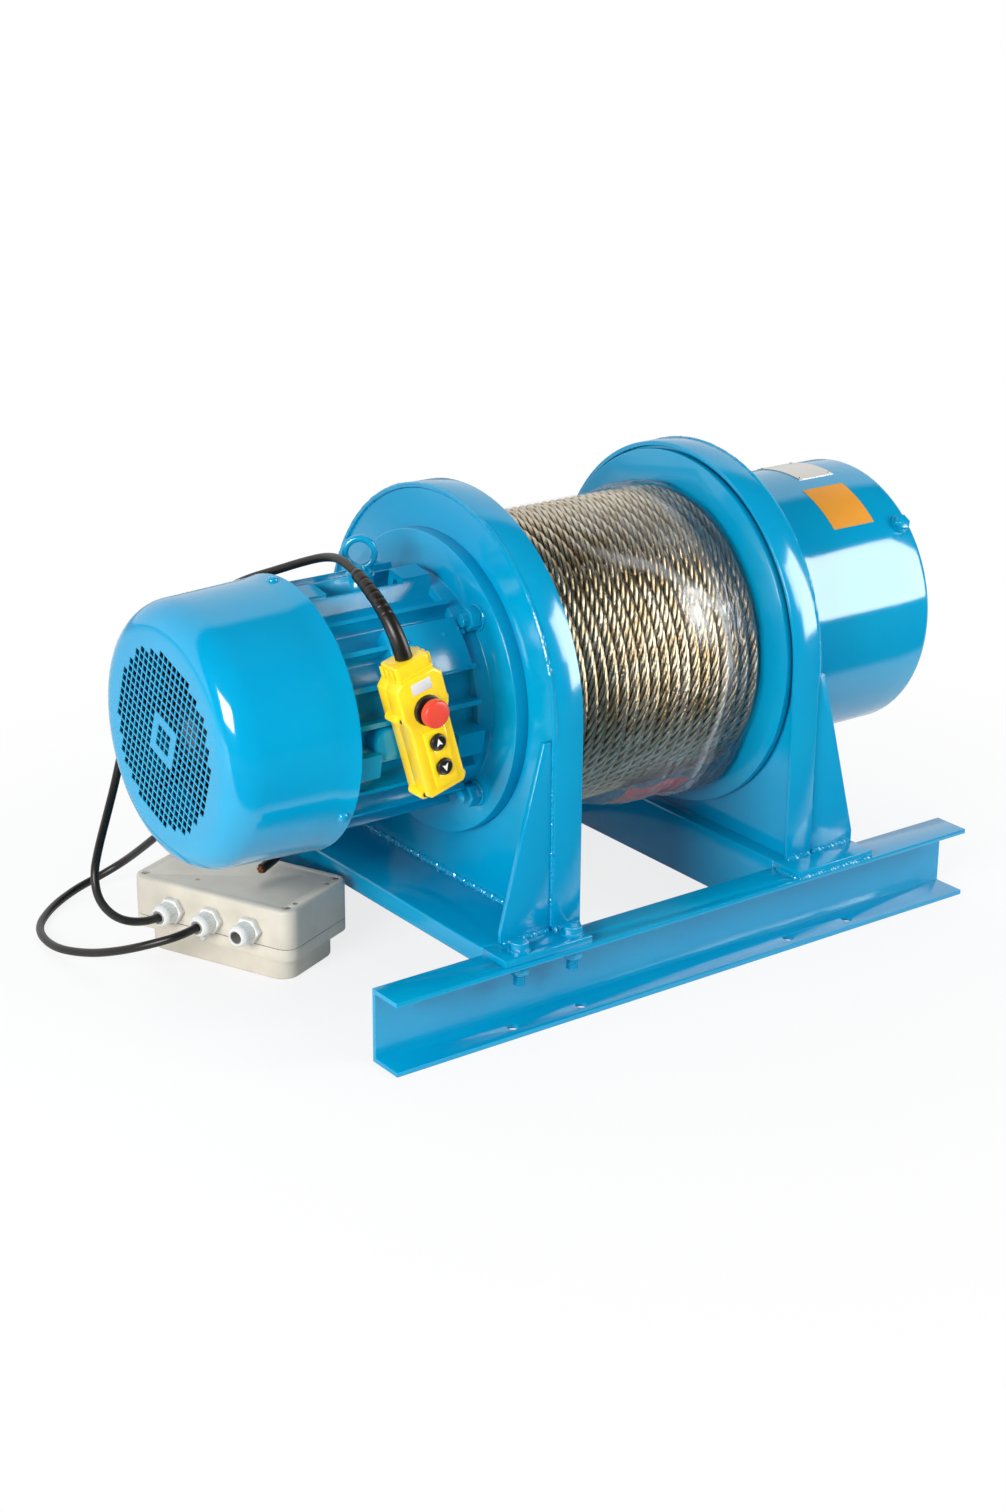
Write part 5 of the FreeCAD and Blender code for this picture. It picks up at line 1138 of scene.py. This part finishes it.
# %% Emergency stop
STOP = PENDANT @ shift(0, 0, 93) @ TO_FRONT
KNOB = [(46, 7.2), (46.1, 12.2), (46.8, 13.6), (47.8, 14.3), (49, 14.5), (51.5, 14.5), (53.6, 14.4),
        (54.8, 14.0), (55.8, 13.0), (56.5, 11.0), (56.85, 7), (56.95, 3), (57, 0.4)]
KNOB_RIBS = 24
bm = bmesh.new()
turned(bm, [(37, 13.8), (37, 15.4), (40.6, 15.4), (41.4, 15.0), (41.7, 14.2), (41.7, 8)], STOP, 48)
piece("estop_ring", bm, "frame", BLACK_ABS)


def knob_radius(u, angle):
    along, reach = KNOB[round(u * (len(KNOB) - 1))]
    ribbed = smooth(47.5, 49, along) * (1 - smooth(52, 54, along))
    return reach - 0.35 * ribbed * (0.5 - 0.5 * math.cos(angle * KNOB_RIBS)) ** 2


bm = bmesh.new()
tube(bm, [STOP @ Vector((0, 0, a)) for a, r in KNOB], knob_radius, sides=KNOB_RIBS * 6)
piece("estop_knob_finished", bm, "estop_knob", RED_ABS, ["estop_knob"])

# %% Buttons
ARROW, ARROW_FROM, ARROW_THICK = ((0, 4.6), (3.5, -3.4), (0, -1.4), (-3.5, -3.4)), 43.28, 0.35
for label, height, flip in (("up_button", 57, 1), ("down_button", 29, -1)):
    bm = bmesh.new()
    at = PENDANT @ shift(0, 0, height) @ TO_FRONT
    turned(bm, [(16, 0), (16, 3.5), (32.2, 3.5), (32.2, 9.5), (33.7, 9.5), (33.7, 8.5), (42.6, 8.5),
                (43.6, 7.9), (43.9, 7.2), (43.5, 6.2), (43.3, 3), (43.25, 0)], at, 44)
    arrow = [bm.verts.new((x, flip * y, ARROW_FROM)) for x, y in ARROW]
    raised = bmesh.ops.extrude_face_region(bm, geom=[bm.faces.new(arrow)])
    tops = [v for v in raised["geom"] if isinstance(v, bmesh.types.BMVert)]
    bmesh.ops.translate(bm, vec=(0, 0, ARROW_THICK), verts=tops)
    bmesh.ops.transform(bm, matrix=at, verts=arrow + tops)
    for f in bm.faces:
        if all(v in arrow + tops for v in f.verts):
            f.material_index = 1
    piece(label + "_finished", bm, label, [BLACK_ABS, WHITE_INK], [label])

# %% [markdown]
# ## Inner pieces
# The rest only shows through gaps: gears, bearings, the fan behind its grille, the brake. Their solids
# stay as they are and get the finish of bare or dark parts.

# %% Finishes for solids that stay
PLANETS = [f"{stage}_planet_{letter}" for stage in ("first", "second") for letter in "abc"]
INSIDE = {
    CORE_IRON: ["stator", "rotor_core", "brake_magnet"],
    GEAR_STEEL: ["motor_bearings", "ring_gear", "drum_bearings", "drive_shaft", "brake_disc",
                 "second_carrier", "drum_hub", "first_carrier", *PLANETS],
    FAN_PLASTIC: ["cooling_fan", "contactors"],
    PLATE_ENAMEL: ["drum_barrel"],
    BLACK_ABS: ["estop_stem"],
}
for material, sources in INSIDE.items():
    for source in sources:
        cad = frame["nodes"][source]
        cad.data.materials.clear()
        cad.data.materials.append(material)
print("solids kept:", sum(len(s) for s in INSIDE.values()))

# %% [markdown]
# ## Floor
# The photograph is a studio shot on white. A pale matt floor takes the shadow near the machine, and
# to the camera it turns to plain white further out by a share of its own glow. Reflections see it
# differently: bright behind, and dark from the front rail towards the camera, as a floor outside the
# light is, so that the paint looks deep low down in front.

# %% Floor
FLOOR_HALF, FLOOR_GREY = 12, (0.82, 0.82, 0.82, 1)


def studio_rays(tree):
    """Outputs that are 1 for a ray that the camera sees, also through glass, and for a reflection."""
    path = node(tree, "LightPath").outputs
    seen = node(tree, "Math", {"operation": "MAXIMUM"},
                {0: path["Is Camera Ray"], 1: path["Is Transmission Ray"]})
    return seen.outputs[0], path["Is Glossy Ray"]


bm = bmesh.new()
bmesh.ops.create_grid(bm, x_segments=1, y_segments=1, size=FLOOR_HALF)
floor_mesh = bpy.data.meshes.new("floor")
bm.to_mesh(floor_mesh)
bm.free()
into_scene("floor", floor_mesh)
floor_paint = bpy.data.materials.new("white_studio_floor")
floor_mesh.materials.append(floor_paint)
tree = bare_tree(floor_paint)
seen, glossy = studio_rays(tree)
place = node(tree, "TexCoord").outputs["Object"]
away = node(tree, "VectorMath", {"operation": "LENGTH"}, {0: place}).outputs["Value"]
whiter = node(tree, "MapRange", {"From Min": 0.4, "From Max": 1.0, "To Min": 0.8, "To Max": 1.0},
              {"Value": away})
share = node(tree, "Math", {"operation": "MULTIPLY"}, {0: seen, 1: whiter})
matt = node(tree, "BsdfDiffuse", {"Color": FLOOR_GREY})
glow = node(tree, "Emission", {"Strength": 1.0})
plain = node(tree, "MixShader", links={0: share, 1: matt, 2: glow})
depth = node(tree, "SeparateXYZ", links={0: place}).outputs["Y"]
front_edge = node(tree, "MapRange", {"From Min": -0.37, "From Max": -0.31, "To Min": 0.03, "To Max": 0.8},
                  {"Value": depth})
lit = node(tree, "BsdfDiffuse", links={"Color": front_edge})
haze = node(tree, "Emission", {"Strength": 0.12}, {"Color": front_edge})
mirrored = node(tree, "AddShader", links={0: lit, 1: haze})
mixed = node(tree, "MixShader", links={0: glossy, 1: plain, 2: mirrored})
node(tree, "OutputMaterial", links={"Surface": mixed})
print("floor is", 2 * FLOOR_HALF, "m wide")

# %% [markdown]
# ## Background and light
# The world is plain white to the camera. In reflections it is a white wall behind the machine and
# dark on the camera's side, as a studio is: that makes the paint deep in front and pale along its
# upper edges. As light it is only a dim, slightly blue fill. A softbox on the left and one on the
# right do most of the lighting; a strip and a panel on the right draw the long bright lines on the
# round parts, the panel in reflections only. The lamps above and behind give light without a mirror
# image.

# %% World
WHITE, FILL = (1, 1, 1, 1), (0.84, 0.94, 1.1, 1)
world = bpy.data.worlds.new("studio")
bpy.context.scene.world = world
tree = bare_tree(world)
seen, glossy = studio_rays(tree)
way = node(tree, "TexCoord").outputs["Generated"]
backward = node(tree, "SeparateXYZ", links={0: way}).outputs["Y"]
wall_light = node(tree, "MapRange", {"From Min": 0.27, "From Max": 0.36, "To Min": 0.03, "To Max": 1.0},
                  {"Value": backward})
fill = node(tree, "Background", {"Color": FILL, "Strength": 0.32})
mirrored = node(tree, "Background", {"Color": WHITE}, {"Strength": wall_light})
white = node(tree, "Background", {"Color": WHITE, "Strength": 1.0})
mixed = node(tree, "MixShader", links={0: glossy, 1: fill, 2: mirrored})
mixed = node(tree, "MixShader", links={0: seen, 1: mixed, 2: white})
node(tree, "OutputWorld", links={"Surface": mixed})
bpy.context.scene.view_settings.view_transform = "Standard"
print("world made")

# %% Lamps
WARM_WHITE = (1.0, 0.98, 0.945)
LAMPS = {
    "overhead": ((0.1, 0.0, 2.6), (0, 0, 0.3), 2.4, 1.6, 10, "light"),
    "back_fill": ((0.5, 2.6, 1.5), (0, 0, 0.3), 1.6, 1.2, 34, "light"),
    "left_softbox": ((-2.7, -1.1, 1.15), (-0.48, -0.11, 0.36), 1.3, 0.9, 84, "both"),
    "right_softbox": ((1.97, -1.74, 1.2), (0.05, -0.15, 1.2), 1.07, 1.9, 46, "both"),
    "right_strip": ((1.5, -2.2, 1.57), (0.0, -0.15, 1.57), 0.26, 1.24, 9, "both"),
    "right_panel": ((1.98, -1.75, 1.2), (0.06, -0.16, 1.2), 1.07, 1.9, 22, "mirror"),
}
for lamp_name, (spot, aim, wide, high, power, use) in LAMPS.items():
    lamp = bpy.data.lights.new(lamp_name, "AREA")
    lamp.shape, lamp.size, lamp.size_y, lamp.energy = "RECTANGLE", wide, high, power
    lamp.color = WARM_WHITE
    holder = into_scene(lamp_name, lamp)
    holder.location = spot
    holder.rotation_mode = "QUATERNION"
    holder.rotation_quaternion = (Vector(aim) - Vector(spot)).to_track_quat("-Z", "Y")
    holder.visible_glossy, holder.visible_diffuse = use != "light", use != "mirror"
print("lamps:", ", ".join(LAMPS))
